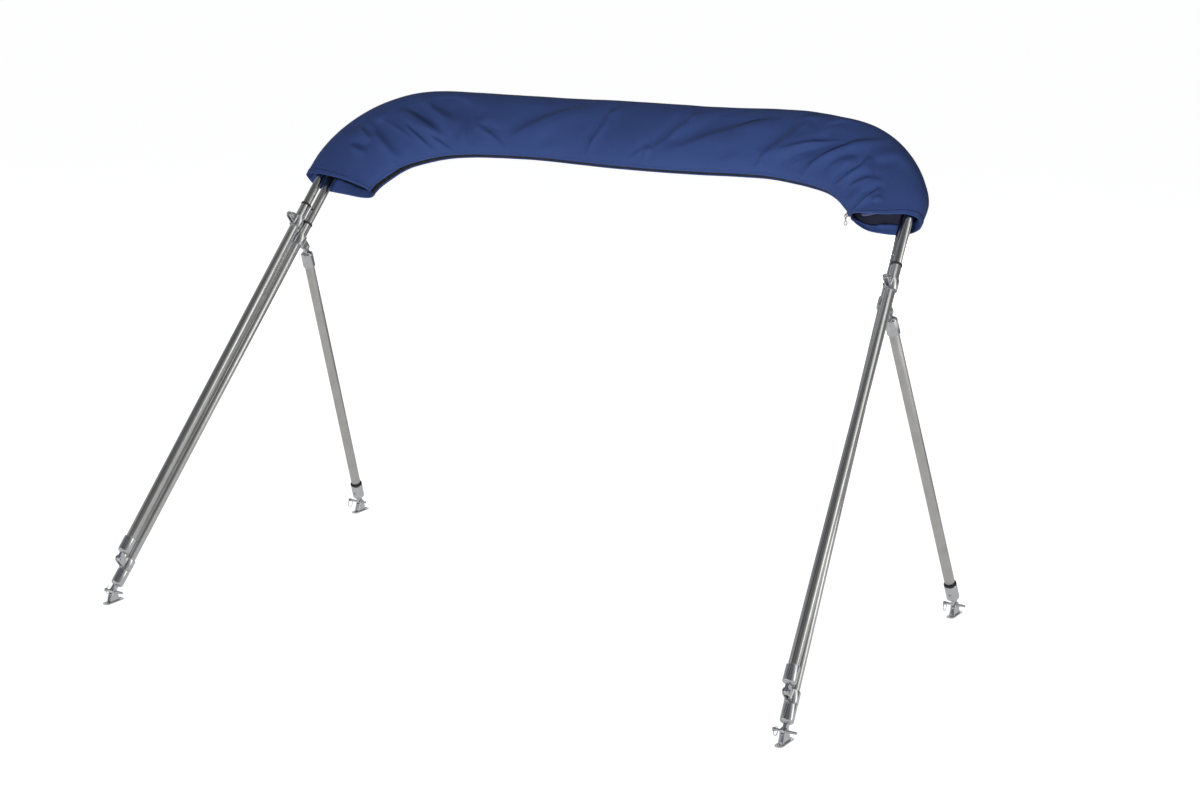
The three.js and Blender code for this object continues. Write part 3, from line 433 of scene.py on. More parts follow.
# %% [markdown]
# ## Places on the frame
# Everything hangs on the plane of the folded bows, which leans back from the front hinges. A point
# in it has an x across the boat and an s, its height up the plane from the front pins. A leg has
# its own frame: its Y runs up the tube, its Z forwards and its X along the pins.

# %% Sizes and the bow plane
LEAN = math.radians(50.33)  # of the bow plane, up from level
FLARE = math.atan(0.0938)  # of each leg, inwards
FRONT_PIN_X, REAR_PIN_X, REAR_PIN_Y, PIN_HEIGHT = 940, 905, 989, 27
MAIN_TOP, SECOND_TOP = 1088, 1128  # s of the legs' open ends
SECOND_FOOT, STRUT_PIN, SPARE_PIN = 76, 1041, 1078  # s of the pins on the legs
REACH = 34  # from a tube's middle to the pin in the jaw on it
FIT = 0.3  # between two metal pieces
ACROSS = Vector((1, 0, 0))
MIDDLE_X, MIDDLE_Y = 2, REAR_PIN_Y / 2  # of the whole part, from halfway between the front pins
GROUND = Matrix.Translation((-MIDDLE_X * MM, -MIDDLE_Y * MM, 0)) @ Matrix.Scale(MM, 4)
BOW_PLANE = GROUND @ Matrix.Translation((0, 0, PIN_HEIGHT)) @ Matrix.Rotation(LEAN, 4, "X")
SIDES = {"left": -1, "right": 1}
LEG_FRAME = {
    side: BOW_PLANE @ Matrix.Translation((FRONT_PIN_X * sign, 0, 0)) @ Matrix.Rotation(FLARE * sign, 4, "Z")
    for side, sign in SIDES.items()
}


def on_leg(s):
    """The distance up a flared leg of a point at height s in the bow plane."""
    return s / math.cos(FLARE)


def look_along(origin, pin, way):
    """The frame whose X is the pin and whose Y follows the tube, and the tube's lean out of it."""
    lean = math.asin(way.dot(pin))
    along = (way - way.dot(pin) * pin).normalized()
    third = pin.cross(along)
    turn = Matrix((pin, along, third)).transposed().to_4x4()
    return Matrix.Translation(origin) @ turn, lean


print("bow plane leans", round(math.degrees(LEAN), 1), "degrees, legs", round(math.degrees(FLARE), 1))

# %% [markdown]
# ## Working as by hand
# A round piece is drawn as half of its section, one corner after another, and spun about the Y
# axis. An eye or an ear starts as two circles that are bridged, and its root is pulled out of the
# outer one. A wire is a line with a round bevel. Edges then get a small bevel, because a sharp edge
# catches no light.

# %% Helpers for adding and selecting


def start_fresh():
    """Leaves edit mode and deselects everything, as an operator acts on all that is selected."""
    if bpy.context.object and bpy.context.object.mode != "OBJECT":
        bpy.ops.object.mode_set(mode="OBJECT")
    bpy.ops.object.select_all(action="DESELECT")


def only(piece):
    """Selects this piece alone and makes it the active one."""
    start_fresh()
    piece.select_set(True)
    bpy.context.view_layer.objects.active = piece


def added(operator, **settings):
    """Adds a primitive with nothing else selected, and puts its place and size into its mesh."""
    start_fresh()
    operator(**settings)
    bpy.ops.object.transform_apply(location=True, rotation=True, scale=True)
    return bpy.context.object


def select_where(piece, kind, test):
    """Selects the piece's own "EDGE" or "FACE" elements that pass the test, and stays in edit mode."""
    bpy.ops.object.mode_set(mode="EDIT")
    bpy.ops.mesh.select_mode(type=kind)
    bpy.ops.mesh.select_all(action="DESELECT")
    bpy.ops.object.mode_set(mode="OBJECT")
    for element in piece.data.edges if kind == "EDGE" else piece.data.polygons:
        element.select = bool(test(element))
    bpy.ops.object.mode_set(mode="EDIT")


def apply_modifier(piece, kind, **settings):
    """Adds a modifier with these settings and applies it."""
    only(piece)
    modifier = piece.modifiers.new(kind.title(), kind)
    for key, value in settings.items():
        setattr(modifier, key, value)
    bpy.ops.object.modifier_apply(modifier=modifier.name)


def finish_edges(piece, bevel=0.4, angle=35):
    """Closes the mesh, turns its faces outwards and rounds its edges."""
    only(piece)
    bpy.ops.object.mode_set(mode="EDIT")
    bpy.ops.mesh.select_all(action="SELECT")
    bpy.ops.mesh.remove_doubles(threshold=1e-4)
    bpy.ops.mesh.normals_make_consistent(inside=False)
    bpy.ops.object.mode_set(mode="OBJECT")
    if bevel:
        apply_modifier(
            piece, "BEVEL", width=bevel, segments=2, limit_method="ANGLE", angle_limit=math.radians(angle),
            miter_outer="MITER_ARC",
        )
    only(piece)
    bpy.ops.object.shade_smooth_by_angle(angle=math.radians(30))


# %% Helpers for round pieces, eyes and wires


def spun(name, section, steps=48, bevel=0.4):
    """A round piece about Y, from its section as (radius, height) corners in millimetres."""
    piece = added(bpy.ops.mesh.primitive_plane_add, size=1)
    piece.name = name
    bpy.ops.object.mode_set(mode="EDIT")
    bpy.ops.mesh.select_mode(type="VERT")
    bpy.ops.mesh.select_all(action="SELECT")
    bpy.ops.mesh.merge(type="CENTER")
    bpy.ops.transform.translate(value=(section[0][0], section[0][1], 0))
    for (r0, h0), (r1, h1) in zip(section, section[1:]):
        bpy.ops.mesh.extrude_region_move(TRANSFORM_OT_translate={"value": (r1 - r0, h1 - h0, 0)})
    bpy.ops.mesh.select_all(action="SELECT")
    bpy.ops.mesh.spin(steps=steps, angle=2 * math.pi, center=(0, 0, 0), axis=(0, 1, 0))
    bpy.ops.object.mode_set(mode="OBJECT")
    finish_edges(piece, bevel)
    return piece


def eye_plate(name, tip, hole, root, root_half, thick, bevel):
    """A flat eye in the XY plane with its hole at the origin and its root at Y = root."""
    piece = added(bpy.ops.mesh.primitive_circle_add, vertices=48, radius=tip)
    piece.name = name
    bpy.ops.object.mode_set(mode="EDIT")
    bpy.ops.mesh.primitive_circle_add(vertices=48, radius=hole)
    bpy.ops.mesh.select_all(action="SELECT")
    bpy.ops.mesh.bridge_edge_loops()
    bpy.ops.object.mode_set(mode="OBJECT")
    upper = {v.index for v in piece.data.vertices if v.co.length > (tip + hole) / 2 and v.co.y > -1e-4}
    select_where(piece, "EDGE", lambda edge: upper.issuperset(edge.vertices))
    bpy.ops.mesh.extrude_edges_move(TRANSFORM_OT_translate={"value": (0, 0, 0)})
    bpy.ops.transform.resize(value=(root_half / tip, 0, 1), center_override=(0, 0, 0))
    bpy.ops.transform.translate(value=(0, root, 0))
    bpy.ops.object.mode_set(mode="OBJECT")
    apply_modifier(piece, "SOLIDIFY", thickness=thick, offset=0)
    finish_edges(piece, bevel)
    return piece


def wire(name, line, radius, roundness, bevel=0):
    """A round wire or tube along a line of points: a curve with a bevel, made a mesh."""
    curve = bpy.data.curves.new(name, "CURVE")
    curve.dimensions = "3D"
    curve.bevel_depth = radius
    curve.bevel_resolution = roundness
    curve.use_fill_caps = True
    spline = curve.splines.new("POLY")
    spline.points.add(len(line) - 1)
    for point, place in zip(spline.points, line):
        point.co = (*place, 1)
    piece = bpy.data.objects.new(name, curve)
    bpy.context.collection.objects.link(piece)
    only(piece)
    bpy.ops.object.convert(target="MESH")
    finish_edges(bpy.context.object, bevel)
    return bpy.context.object


# %% Helpers for joining and setting out


def joined(name, *parts):
    """Joins the parts into the first one."""
    start_fresh()
    for part in parts:
        part.select_set(True)
    bpy.context.view_layer.objects.active = parts[0]
    bpy.ops.object.join()
    parts[0].name = name
    return parts[0]


def moved(piece, matrix):
    """Moves the mesh itself, so that the object stays at the origin."""
    piece.data.transform(matrix)
    if matrix.determinant() < 0:
        piece.data.flip_normals()
    piece.data.update()
    return piece


def copy_of(model, name):
    """A copy of a model, with its own mesh."""
    piece = bpy.data.objects.new(name, model.data.copy())
    bpy.context.collection.objects.link(piece)
    return piece


def set_out(model, node, matrix, body, finish):
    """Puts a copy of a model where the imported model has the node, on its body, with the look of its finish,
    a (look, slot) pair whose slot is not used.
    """
    look, slot = finish
    piece = moved(copy_of(model, f"{node}_part"), matrix)
    piece.data.materials.clear()
    piece.data.materials.append(look)
    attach(piece, body)
    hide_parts(node)


def put_away(*models):
    """Deletes the models once all their copies are set out."""
    start_fresh()
    for model in models:
        bpy.data.objects.remove(model, do_unlink=True)


# %% [markdown]
# ## Bow tubes
# Each bow is an upper U of thinner tube whose ends slide inside two lower legs. The U is a curve
# along the tube's middle, thickened by the curve's bevel and turned into a mesh: that keeps the
# wall exactly round through the two bends, which no cylinder bent by hand would.

# %% The bow's middle line
CORNER = 245  # radius of the bend, to the tube's middle
CROWN_S, CAMBER = 1480, 6  # s of the crown's middle, and how far the crown falls to each bend
corner_s = CROWN_S - CAMBER - CORNER
tangent_s = corner_s + CORNER * math.sin(FLARE)
corner_x = FRONT_PIN_X - math.tan(FLARE) * tangent_s - CORNER * math.cos(FLARE)
crown_radius = (corner_x**2 + (CORNER + CAMBER) ** 2 - CORNER**2) / (2 * CAMBER)
crown_angle = math.asin(corner_x / (crown_radius - CORNER))
crown_length = crown_radius * crown_angle
corner_length = CORNER * (math.pi / 2 - FLARE - crown_angle)
bend_end = crown_length + corner_length


def bow_at(distance):
    """The bow's point and its outward direction at a distance from the middle of the crown."""
    side, far = (-1 if distance < 0 else 1), abs(distance)
    if far <= crown_length:
        angle = far / crown_radius
        x = crown_radius * math.sin(angle)
        s = CROWN_S - crown_radius * (1 - math.cos(angle))
    else:
        onward = max(far - bend_end, 0)
        angle = crown_angle + min(far - crown_length, corner_length) / CORNER
        x = corner_x + CORNER * math.sin(angle) + onward * math.cos(angle)
        s = corner_s + CORNER * math.cos(angle) - onward * math.sin(angle)
    return side * x, s, side * math.sin(angle), math.cos(angle)


print("bow", round(2 * bend_end), "mm along its crown and corners")

# %% Where the second bow lies beside the main one
SECOND_MARK = 1190  # an s on the straight part of its legs
SECOND = {"left": (10, 28), "right": (19.5, 23)}  # how far outwards and forwards it lies there
CROWN_OUT, CROWN_FORWARD = -5, 26.3


def second_at(distance):
    """How far the second bow lies outside and in front of the main one."""
    out_at_mark, forward_at_mark = SECOND["left" if distance < 0 else "right"]
    s = tangent_s - max(abs(distance) - bend_end, 0) * math.cos(FLARE)
    up = (s - SECOND_FOOT) / (SECOND_MARK - SECOND_FOOT)
    bend = min(max((bend_end - abs(distance)) / corner_length, 0), 1)
    forward = REACH + (forward_at_mark - REACH) * up
    eased = math.sin(bend * math.pi / 2)
    out = out_at_mark * up
    return out + (CROWN_OUT - out) * bend, forward + (CROWN_FORWARD - forward) * eased


print("second bow's crown lies", round(second_at(0)[1], 1), "mm in front of the main one's")

# %% Upper tubes
UPPER_RADIUS = 11.1
IN_LEG, STRAIGHT = 62, 14
CORNER_STEPS, CROWN_STEPS = 28, 30


def upper_tube(name, leg_top, beside_at):
    """The upper bow that stands in legs of this height, with its place beside the middle line."""
    low = bend_end + on_leg(tangent_s - leg_top + IN_LEG)
    places = [-low, -bend_end - STRAIGHT]
    places += [-bend_end + corner_length * i / CORNER_STEPS for i in range(CORNER_STEPS)]
    places += [-crown_length + 2 * crown_length * i / CROWN_STEPS for i in range(CROWN_STEPS + 1)]
    places += [crown_length + corner_length * i / CORNER_STEPS for i in range(1, CORNER_STEPS + 1)]
    places += [bend_end + STRAIGHT, low]
    line = []
    for distance in places:
        x, s, out_x, out_s = bow_at(distance)
        out, forward = beside_at(distance)
        line.append((x + out * out_x, s + out * out_s, forward))
    return wire(name, line, UPPER_RADIUS, 10, bevel=0.5)


for name, leg_top, beside in (
    ("main_bow_top", MAIN_TOP, lambda distance: (0, 0)),
    ("second_bow_top", SECOND_TOP, second_at),
):
    tube = upper_tube(name + "_model", leg_top, beside)
    set_out(tube, name, BOW_PLANE, "frame", TUBE_STEEL)
    put_away(tube)
print("upper tubes follow a corner of", CORNER, "mm")

# %% [markdown]
# ## Lower legs and struts
# A leg is one straight tube: closed at the foot by its end cap, open at the top where the bow's
# thinner tube slides in. A black collar closes the step between the two tubes, and a spring
# button a little above it shows where the bow locks.

# %% Tubes, collars and buttons
TUBE_RADIUS = 12.7
LEG_BORE, BORE_DEPTH = 11.6, 70
EYE_FLOOR = 24
EYE_CAP, EYE_TOP, EYE_BORE = 15.75, 60, 13.1
BUTTON_UP, STRUT_BUTTON_UP = 27, 36  # above a leg's mouth, and above a strut's lower pin
BUTTON_TURN = math.pi / 2 - 0.5  # from the front towards the inside


def open_leg(name, top):
    """A tube from its eye end to its open top, with the bore that the upper tube stands in."""
    start = EYE_FLOOR + FIT
    return spun(name, [
        (0, start), (TUBE_RADIUS, start), (TUBE_RADIUS, top), (LEG_BORE, top), (LEG_BORE, top - BORE_DEPTH),
        (0, top - BORE_DEPTH),
    ], 56, 0.35)


def collar(name, inner, outer):
    """A moulded ring with a soft lip at its top and bottom."""
    lip = 0.5
    section = [
        (inner, 0), (outer - lip, 0), (outer, lip), (outer, 2), (outer - 0.35, 2.5), (outer, 3),
        (outer, 5 - lip), (outer - lip, 5), (inner, 5), (inner, 0),
    ]
    return spun(name, section, 48, 0.15)


top_main, top_second = on_leg(MAIN_TOP), on_leg(SECOND_TOP - SECOND_FOOT)
main_leg = open_leg("main_leg_model", top_main)
second_leg = open_leg("second_leg_model", top_second)
collar_model = collar("collar_model", 11.6, 13.9)
strut_collar_model = collar("strut_collar_model", 13.5, EYE_CAP)
button_model = spun(
    "button_model", [(0, 0), (3.5, 0), (3.5, 1.2), (3.2, 1.9), (2.4, 2.6), (1.3, 3.0), (0, 3.1)], 20, 0
)
print("legs", round(top_main - EYE_FLOOR), "and", round(top_second - EYE_FLOOR), "mm long")

# %% [markdown]
# ## Jaw slides
# A jaw slide is a cast sleeve that slides on the tube, with two ears that hold the eye of the next
# tube on a bolt. The ears taper to a round tip and grow out of the sleeve.

# %% Jaw slide and bolt
SLEEVE_BORE, SLEEVE_RADIUS, SLEEVE_HALF = 13, 16.2, 14.5
EAR, GAP = 3, 9
ear_x = (GAP + EAR) / 2
sleeve = spun("sleeve", [
    (SLEEVE_BORE, -SLEEVE_HALF), (SLEEVE_RADIUS, -SLEEVE_HALF), (SLEEVE_RADIUS, SLEEVE_HALF),
    (SLEEVE_BORE, SLEEVE_HALF), (SLEEVE_BORE, -SLEEVE_HALF),
], 48, 0.8)
ROOT_DOWN = Matrix(((0, 0, -1, 0), (1, 0, 0, 0), (0, -1, 0, 0), (0, 0, 0, 1)))


def pair_of_ears(pin_height, **eye):
    """Two flat ears round the gap for an eye, from their pin down to their root."""
    places = [Matrix.Translation((side * ear_x, 0, pin_height)) for side in (-1, 1)]
    return [moved(eye_plate("ear", thick=EAR, **eye), place @ ROOT_DOWN) for place in places]


ears = pair_of_ears(REACH, tip=8.75, hole=3.3, root=REACH - SLEEVE_BORE - FIT, root_half=13, bevel=0.7)
slide_model = joined("slide_model", sleeve, *ears)

inside = GAP / 2 + EAR + FIT
shank = spun("shank", [
    (0, -inside - 3.2), (2.2, -inside - 3.1), (4.2, -inside - 2.4), (5.3, -inside - 1.1), (5.5, -inside),
    (3, -inside), (3, inside + 3.1), (0, inside + 3.1),
], 32, 0.15)
nut = added(
    bpy.ops.mesh.primitive_cylinder_add, vertices=6, radius=5.5, depth=2.6, location=(0, inside + 1.3, 0),
    rotation=(math.pi / 2, 0, 0),
)
finish_edges(nut, 0.5)
bolt_model = joined("bolt_model", shank, nut)
moved(bolt_model, Matrix.Rotation(-math.pi / 2, 4, "Z"))
print("jaw slide", len(slide_model.data.polygons), "faces, bolt", len(bolt_model.data.polygons))

# %% [markdown]
# ## Eye ends
# The end of a leg is a cast cap: a cup that the tube stands in, a rounded shoulder and a flat eye.
# The eye stays square to its pin while the cup leans with the tube, so they are modelled apart.

# %% Eye end
cup_model = spun("cup_model", [
    (0, 15.6), (5.6, 15.6), (7.4, 16.2), (10.6, 17.6), (13.6, 19.4), (15.2, 21.2), (EYE_CAP, 23.4),
    (EYE_CAP, 58.8), (EYE_CAP - 1.2, EYE_TOP), (EYE_BORE, EYE_TOP), (EYE_BORE, EYE_FLOOR), (0, EYE_FLOOR),
], 56, 0.3)
tongue = eye_plate("tongue_model", tip=8, hole=3.6, root=22, root_half=6.5, thick=8, bevel=0.9)
tongue_model = moved(tongue, Matrix.Rotation(math.pi / 2, 4, "Y"))


def set_out_eye(node, eye_frame, lean, body):
    """The eye in its pin's frame and the cup in the tube's, joined as one casting."""
    cup = moved(copy_of(cup_model, "cup"), Matrix.Rotation(-lean, 4, "Z"))
    casting = joined(node + "_model", cup, copy_of(tongue_model, "tongue"))
    set_out(casting, node, eye_frame, body, CAST_STEEL)
    put_away(casting)


print("eye end", len(cup_model.data.polygons) + len(tongue_model.data.polygons), "faces")

# %% Set out the two pairs of legs
BACKWARDS = Matrix.Rotation(math.pi, 4, "Y")
AT_EARS = Matrix.Translation((0, 0, REACH))
ON_ITS_SIDE = Matrix.Rotation(math.pi / 2, 4, "X")


def up(distance):
    """This far up a tube."""
    return Matrix.Translation((0, distance, 0))


for side, sign in SIDES.items():
    leg = LEG_FRAME[side]
    inwards = Matrix.Rotation(-sign * BUTTON_TURN, 4, "Y")
    button_out = inwards @ Matrix.Translation((0, 0, UPPER_RADIUS + FIT)) @ ON_ITS_SIDE
    out_at_mark, forward_at_mark = SECOND[side]
    foot = Vector((0, on_leg(SECOND_FOOT), REACH))
    mark = Vector((sign * out_at_mark, on_leg(SECOND_MARK), forward_at_mark))
    eye_frame, lean = look_along(foot, ACROSS, (mark - foot).normalized())
    second = leg @ eye_frame @ Matrix.Rotation(-lean, 4, "Z")
    hinge_jaw, strut_jaw = leg @ up(on_leg(SECOND_FOOT)), leg @ up(on_leg(STRUT_PIN)) @ BACKWARDS
    spare_jaw = second @ up(on_leg(SPARE_PIN - SECOND_FOOT))
    for model, node, place, finish in (
        (main_leg, "main_leg", leg, TUBE_STEEL),
        (collar_model, "main_collar", leg @ up(top_main + FIT), COLLAR_PLASTIC),
        (button_model, "main_button", leg @ up(top_main + BUTTON_UP) @ button_out, CAST_STEEL),
        (slide_model, "second_hinge_slide", hinge_jaw, CAST_STEEL),
        (slide_model, "strut_slide", strut_jaw, CAST_STEEL),
        (bolt_model, "second_hinge_bolt", hinge_jaw @ AT_EARS, CAST_STEEL),
        (bolt_model, "strut_bolt", strut_jaw @ AT_EARS, CAST_STEEL),
        (second_leg, "second_leg", second, TUBE_STEEL),
        (collar_model, "second_collar", second @ up(top_second + FIT), COLLAR_PLASTIC),
        (button_model, "second_button", second @ up(top_second + BUTTON_UP) @ button_out, CAST_STEEL),
        (slide_model, "spare_slide", spare_jaw, CAST_STEEL),
        (bolt_model, "spare_bolt", spare_jaw @ AT_EARS, CAST_STEEL),
    ):
        set_out(model, f"{node}_{side}", place, "frame", finish)
    set_out_eye(f"second_eye_end_{side}", leg @ eye_frame, lean, "frame")
    leg_up = Vector((-sign * math.sin(FLARE), math.cos(FLARE), 0))
    eye_frame, lean = look_along(Vector((FRONT_PIN_X * sign, 0, 0)), ACROSS, leg_up)
    set_out_eye(f"main_eye_end_{side}", BOW_PLANE @ eye_frame, lean, "frame")
print("legs set out", list(SIDES))

# %% [markdown]
# ## Rear struts
# A strut is a plain tube with an eye end at each end. Its lower eye stands on the rear deck hinge
# and its upper one hangs on the main leg's jaw slide, so its two pins aren't parallel.

# %% Struts
CLEAR = EYE_FLOOR + FIT
for side, sign in SIDES.items():
    leg_turn = Matrix.Rotation(LEAN, 3, "X") @ Matrix.Rotation(FLARE * sign, 3, "Z")
    foot = Vector((REAR_PIN_X * sign, REAR_PIN_Y, PIN_HEIGHT))
    top = leg_turn @ Vector((0, on_leg(STRUT_PIN), -REACH)) + Vector((FRONT_PIN_X * sign, 0, PIN_HEIGHT))
    length, way = (top - foot).length, (top - foot).normalized()
    body = f"strut_{side}"
    eye_frame, lean = look_along(foot, ACROSS, way)
    set_out_eye(f"strut_foot_end_{side}", GROUND @ eye_frame, lean, body)
    upper_frame, upper_lean = look_along(top, leg_turn @ ACROSS, -way)
    set_out_eye(f"strut_top_end_{side}", GROUND @ upper_frame, upper_lean, body)
    strut = GROUND @ eye_frame @ Matrix.Rotation(-lean, 4, "Z")
    tube = spun("strut_model", [
        (0, CLEAR), (TUBE_RADIUS, CLEAR), (TUBE_RADIUS, length - CLEAR), (0, length - CLEAR),
    ], 56, 0.5)
    set_out(tube, f"strut_tube_{side}", strut, body, SATIN_STEEL)
    put_away(tube)
    set_out(strut_collar_model, f"strut_collar_{side}", strut @ up(EYE_TOP + FIT), body, COLLAR_PLASTIC)
    on_cap = Matrix.Translation((0, STRUT_BUTTON_UP, EYE_CAP + FIT)) @ ON_ITS_SIDE
    set_out(button_model, f"strut_button_{side}", strut @ on_cap, body, CAST_STEEL)
print("struts", round(length), "mm between pins")

# %% [markdown]
# ## Deck hinges
# A deck hinge is a small base plate with two countersunk screw holes and two ears for the pin. The
# holes are cut with a spun countersink, the way a drill makes them.

# %% Deck hinge
PLATE, PLATE_LENGTH, PLATE_WIDTH, PLATE_CORNER = 3.2, 64, 20, 8
SCREW_Y = 23
SINK_TOP = PLATE + 0.1
plate = added(
    bpy.ops.mesh.primitive_cube_add, size=1, location=(0, 0, PLATE / 2),
    scale=(PLATE_WIDTH, PLATE_LENGTH, PLATE),
)
select_where(plate, "EDGE", lambda edge: np.ptp([plate.data.vertices[v].co.z for v in edge.vertices]) > 1)
bpy.ops.mesh.bevel(offset=PLATE_CORNER, segments=8, affect="EDGES")
bpy.ops.object.mode_set(mode="OBJECT")
for end in (-1, 1):
    sink = spun("countersink", [(0, -1), (2.75, -1), (2.75, 0.8), (5.2, SINK_TOP), (0, SINK_TOP)], 32, 0)
    moved(sink, Matrix.Translation((0, end * SCREW_Y, 0)) @ ON_ITS_SIDE)
    apply_modifier(plate, "BOOLEAN", operation="DIFFERENCE", object=sink, solver="EXACT")
    put_away(sink)
finish_edges(plate, 0.5)
ears = pair_of_ears(PIN_HEIGHT, tip=7.5, hole=3.6, root=PIN_HEIGHT - PLATE + 1, root_half=16, bevel=0.6)
hinge_model = joined("hinge_model", plate, *ears)
print("deck hinge", len(hinge_model.data.polygons), "faces")

# %% [markdown]
# ## Quick-release pins
# The pin has a thick head with a cross hole for its split ring, a groove near its point and a
# sprung ball that keeps it in. The ring is two flat turns of wire, a helix with a pitch of one
# wire.

# %% Pin
shaft = spun("shaft", [
    (0, -26), (3.6, -26), (4.5, -25), (4.5, -19.4), (4.0, -18.4), (3.175, -18), (3.175, 25.2), (2.75, 25.8),
    (2.75, 28.2), (3.175, 28.8), (3.175, 30.5), (1.9, 32), (0, 32),
], 40, 0.25)
moved(shaft, Matrix.Rotation(-math.pi / 2, 4, "Z"))
HEAD_AT = -22
cross_hole = added(
    bpy.ops.mesh.primitive_cylinder_add, vertices=32, radius=2.6, depth=16, location=(HEAD_AT, 0, 0)
)
apply_modifier(shaft, "BOOLEAN", operation="DIFFERENCE", object=cross_hole, solver="EXACT")
put_away(cross_hole)
ball = added(
    bpy.ops.mesh.primitive_uv_sphere_add, segments=16, ring_count=8, radius=1.2, location=(22.5, 0, 2.2)
)
finish_edges(ball, 0)
pin_model = joined("pin_model", shaft, ball)
finish_edges(pin_model, 0)
print("pin", len(pin_model.data.polygons), "faces")

# %% Split ring
WIRE, RING = 0.55, 9.9
TURNS, PER_TURN = 1.92, 48
STEPS_OVER, STEP_LASTS = 0.82, 0.3  # the turn at which the wire steps over beside itself
coil = []
for i in range(int(TURNS * PER_TURN) + 1):
    angle = 2 * math.pi * i / PER_TURN + 1.2
    stepped = min(max((i / PER_TURN - STEPS_OVER) / STEP_LASTS, 0), 1)
    coil.append((-WIRE + 2 * WIRE * stepped, RING * math.cos(angle), RING * math.sin(angle)))
ring_model = moved(wire("ring_model", coil, WIRE, 3), Matrix.Translation((HEAD_AT, RING, 0)))
print("ring", TURNS, "turns")

# %% Set out the four corners: x and y of the pin, how far it is drawn out, and how its ring hangs
CORNERS = {
    "front_left": (-FRONT_PIN_X, 0, 0, -15),
    "front_right": (FRONT_PIN_X, 0, -2, -45),
    "rear_left": (-REAR_PIN_X, REAR_PIN_Y, -12, -90),
    "rear_right": (REAR_PIN_X, REAR_PIN_Y, -4, -90),
}
for corner, (x, y, shift, swing) in CORNERS.items():
    hinge_frame = GROUND @ Matrix.Translation((x, y, 0))
    set_out(hinge_model, f"{corner}_deck_hinge", hinge_frame, f"{corner}_deck_hinge", CAST_STEEL)
    pin_frame = GROUND @ Matrix.Translation((x + shift, y, PIN_HEIGHT))
    pin_frame = pin_frame @ Matrix.Rotation(math.radians(swing), 4, "X")
    set_out(pin_model, f"{corner}_pin", pin_frame, f"{corner}_pin", CAST_STEEL)
    set_out(ring_model, f"{corner}_ring", pin_frame, f"{corner}_pin", CAST_STEEL)
put_away(
    main_leg, second_leg, collar_model, strut_collar_model, button_model, slide_model, bolt_model, cup_model,
    tongue_model, hinge_model, pin_model, ring_model,
)
print("corners", list(CORNERS))

# %% [markdown]
# ## The boot's form
# The boot is a long tube of cloth, drawn over the folded top and closed by a zip underneath. Its
# seam runs along the outside of the bow and its zip along the inside, and between them the cloth
# stands in a fat oval round the canopy. Sewn cloth has a known outline, so it is laid out as a grid
# between the two edges. A simulation would lose the folds that the photograph shows. A place on the
# boot runs from 0 at the left mouth to 1 at the right one, and an angle from 0 at the seam, over the
# front, to pi at the zip and on round the back.

# %% The boot's edges: x and s on the seam, x and s on the zip
BOOT_ROWS = np.array([
    (-893, 1224, -672, 1198), (-880, 1300, -660, 1222), (-846, 1370, -636, 1250),
    (-795, 1428, -602, 1281), (-734, 1471, -556, 1303), (-663, 1501, -496, 1322),
    (-590, 1515, -424, 1334), (-480, 1519, -330, 1340), (-340, 1520, -225, 1343),
    (-190, 1522, -115, 1341), (-30, 1525, 0, 1338), (130, 1526, 120, 1338), (280, 1527, 240, 1340),
    (410, 1533, 350, 1344), (510, 1532, 440, 1345), (595, 1522, 510, 1338), (675, 1506, 565, 1329),
    (742, 1473, 608, 1318), (800, 1425, 638, 1302), (840, 1374, 660, 1284), (867, 1318, 678, 1268),
    (866, 1261, 688, 1256),
], dtype=float)
MIDDLE, HALF_DEPTH = 5, 47
OUTER_POWER, INNER_POWER = 2.6, 2
PLACE_PER_MM = 1 / ((len(BOOT_ROWS) - 1) * math.hypot(*(BOOT_ROWS[1, :2] - BOOT_ROWS[0, :2])))


def along_curve(points, place):
    """The smooth curve through the points (a centripetal Catmull-Rom one), at places from 0 to 1."""
    ends = 2 * points[0] - points[1], 2 * points[-1] - points[-2]
    points_and_ends = np.vstack([ends[0], points, ends[1]])
    at = np.asarray(place, dtype=float) * (len(points) - 1)
    first = np.clip(np.floor(at).astype(int), 0, len(points) - 2)
    t = (at - first)[..., None]
    p0, p1, p2, p3 = (points_and_ends[first + k] for k in range(4))
    d0, d1, d2 = (
        np.sqrt(np.linalg.norm(b - a, axis=-1))[..., None] for a, b in ((p0, p1), (p1, p2), (p2, p3))
    )
    m1 = ((p1 - p0) / d0 - (p2 - p0) / (d0 + d1) + (p2 - p1) / d1) * d1
    m2 = ((p2 - p1) / d1 - (p3 - p1) / (d1 + d2) + (p3 - p2) / d2) * d1
    return p1 + m1 * t + (3 * p2 - 3 * p1 - 2 * m1 - m2) * t**2 + (2 * p1 - 2 * p2 + m1 + m2) * t**3


def signed_power(value, power):
    return np.sign(value) * np.abs(value) ** power


print("seam", round(np.linalg.norm(np.diff(BOOT_ROWS[:, :2], axis=0), axis=1).sum()), "mm long")

# %% [markdown]
# ## Folds in the boot
# Broad folds come where the cloth turns round the corners of the bow: long soft valleys that lean
# towards the middle. Over them lie the sharp creases of packed cloth. A crease is a crest with a
# steep wall down to a trough on one side, and a slow fall on the other. It bends a little, and both
# its ends fade.

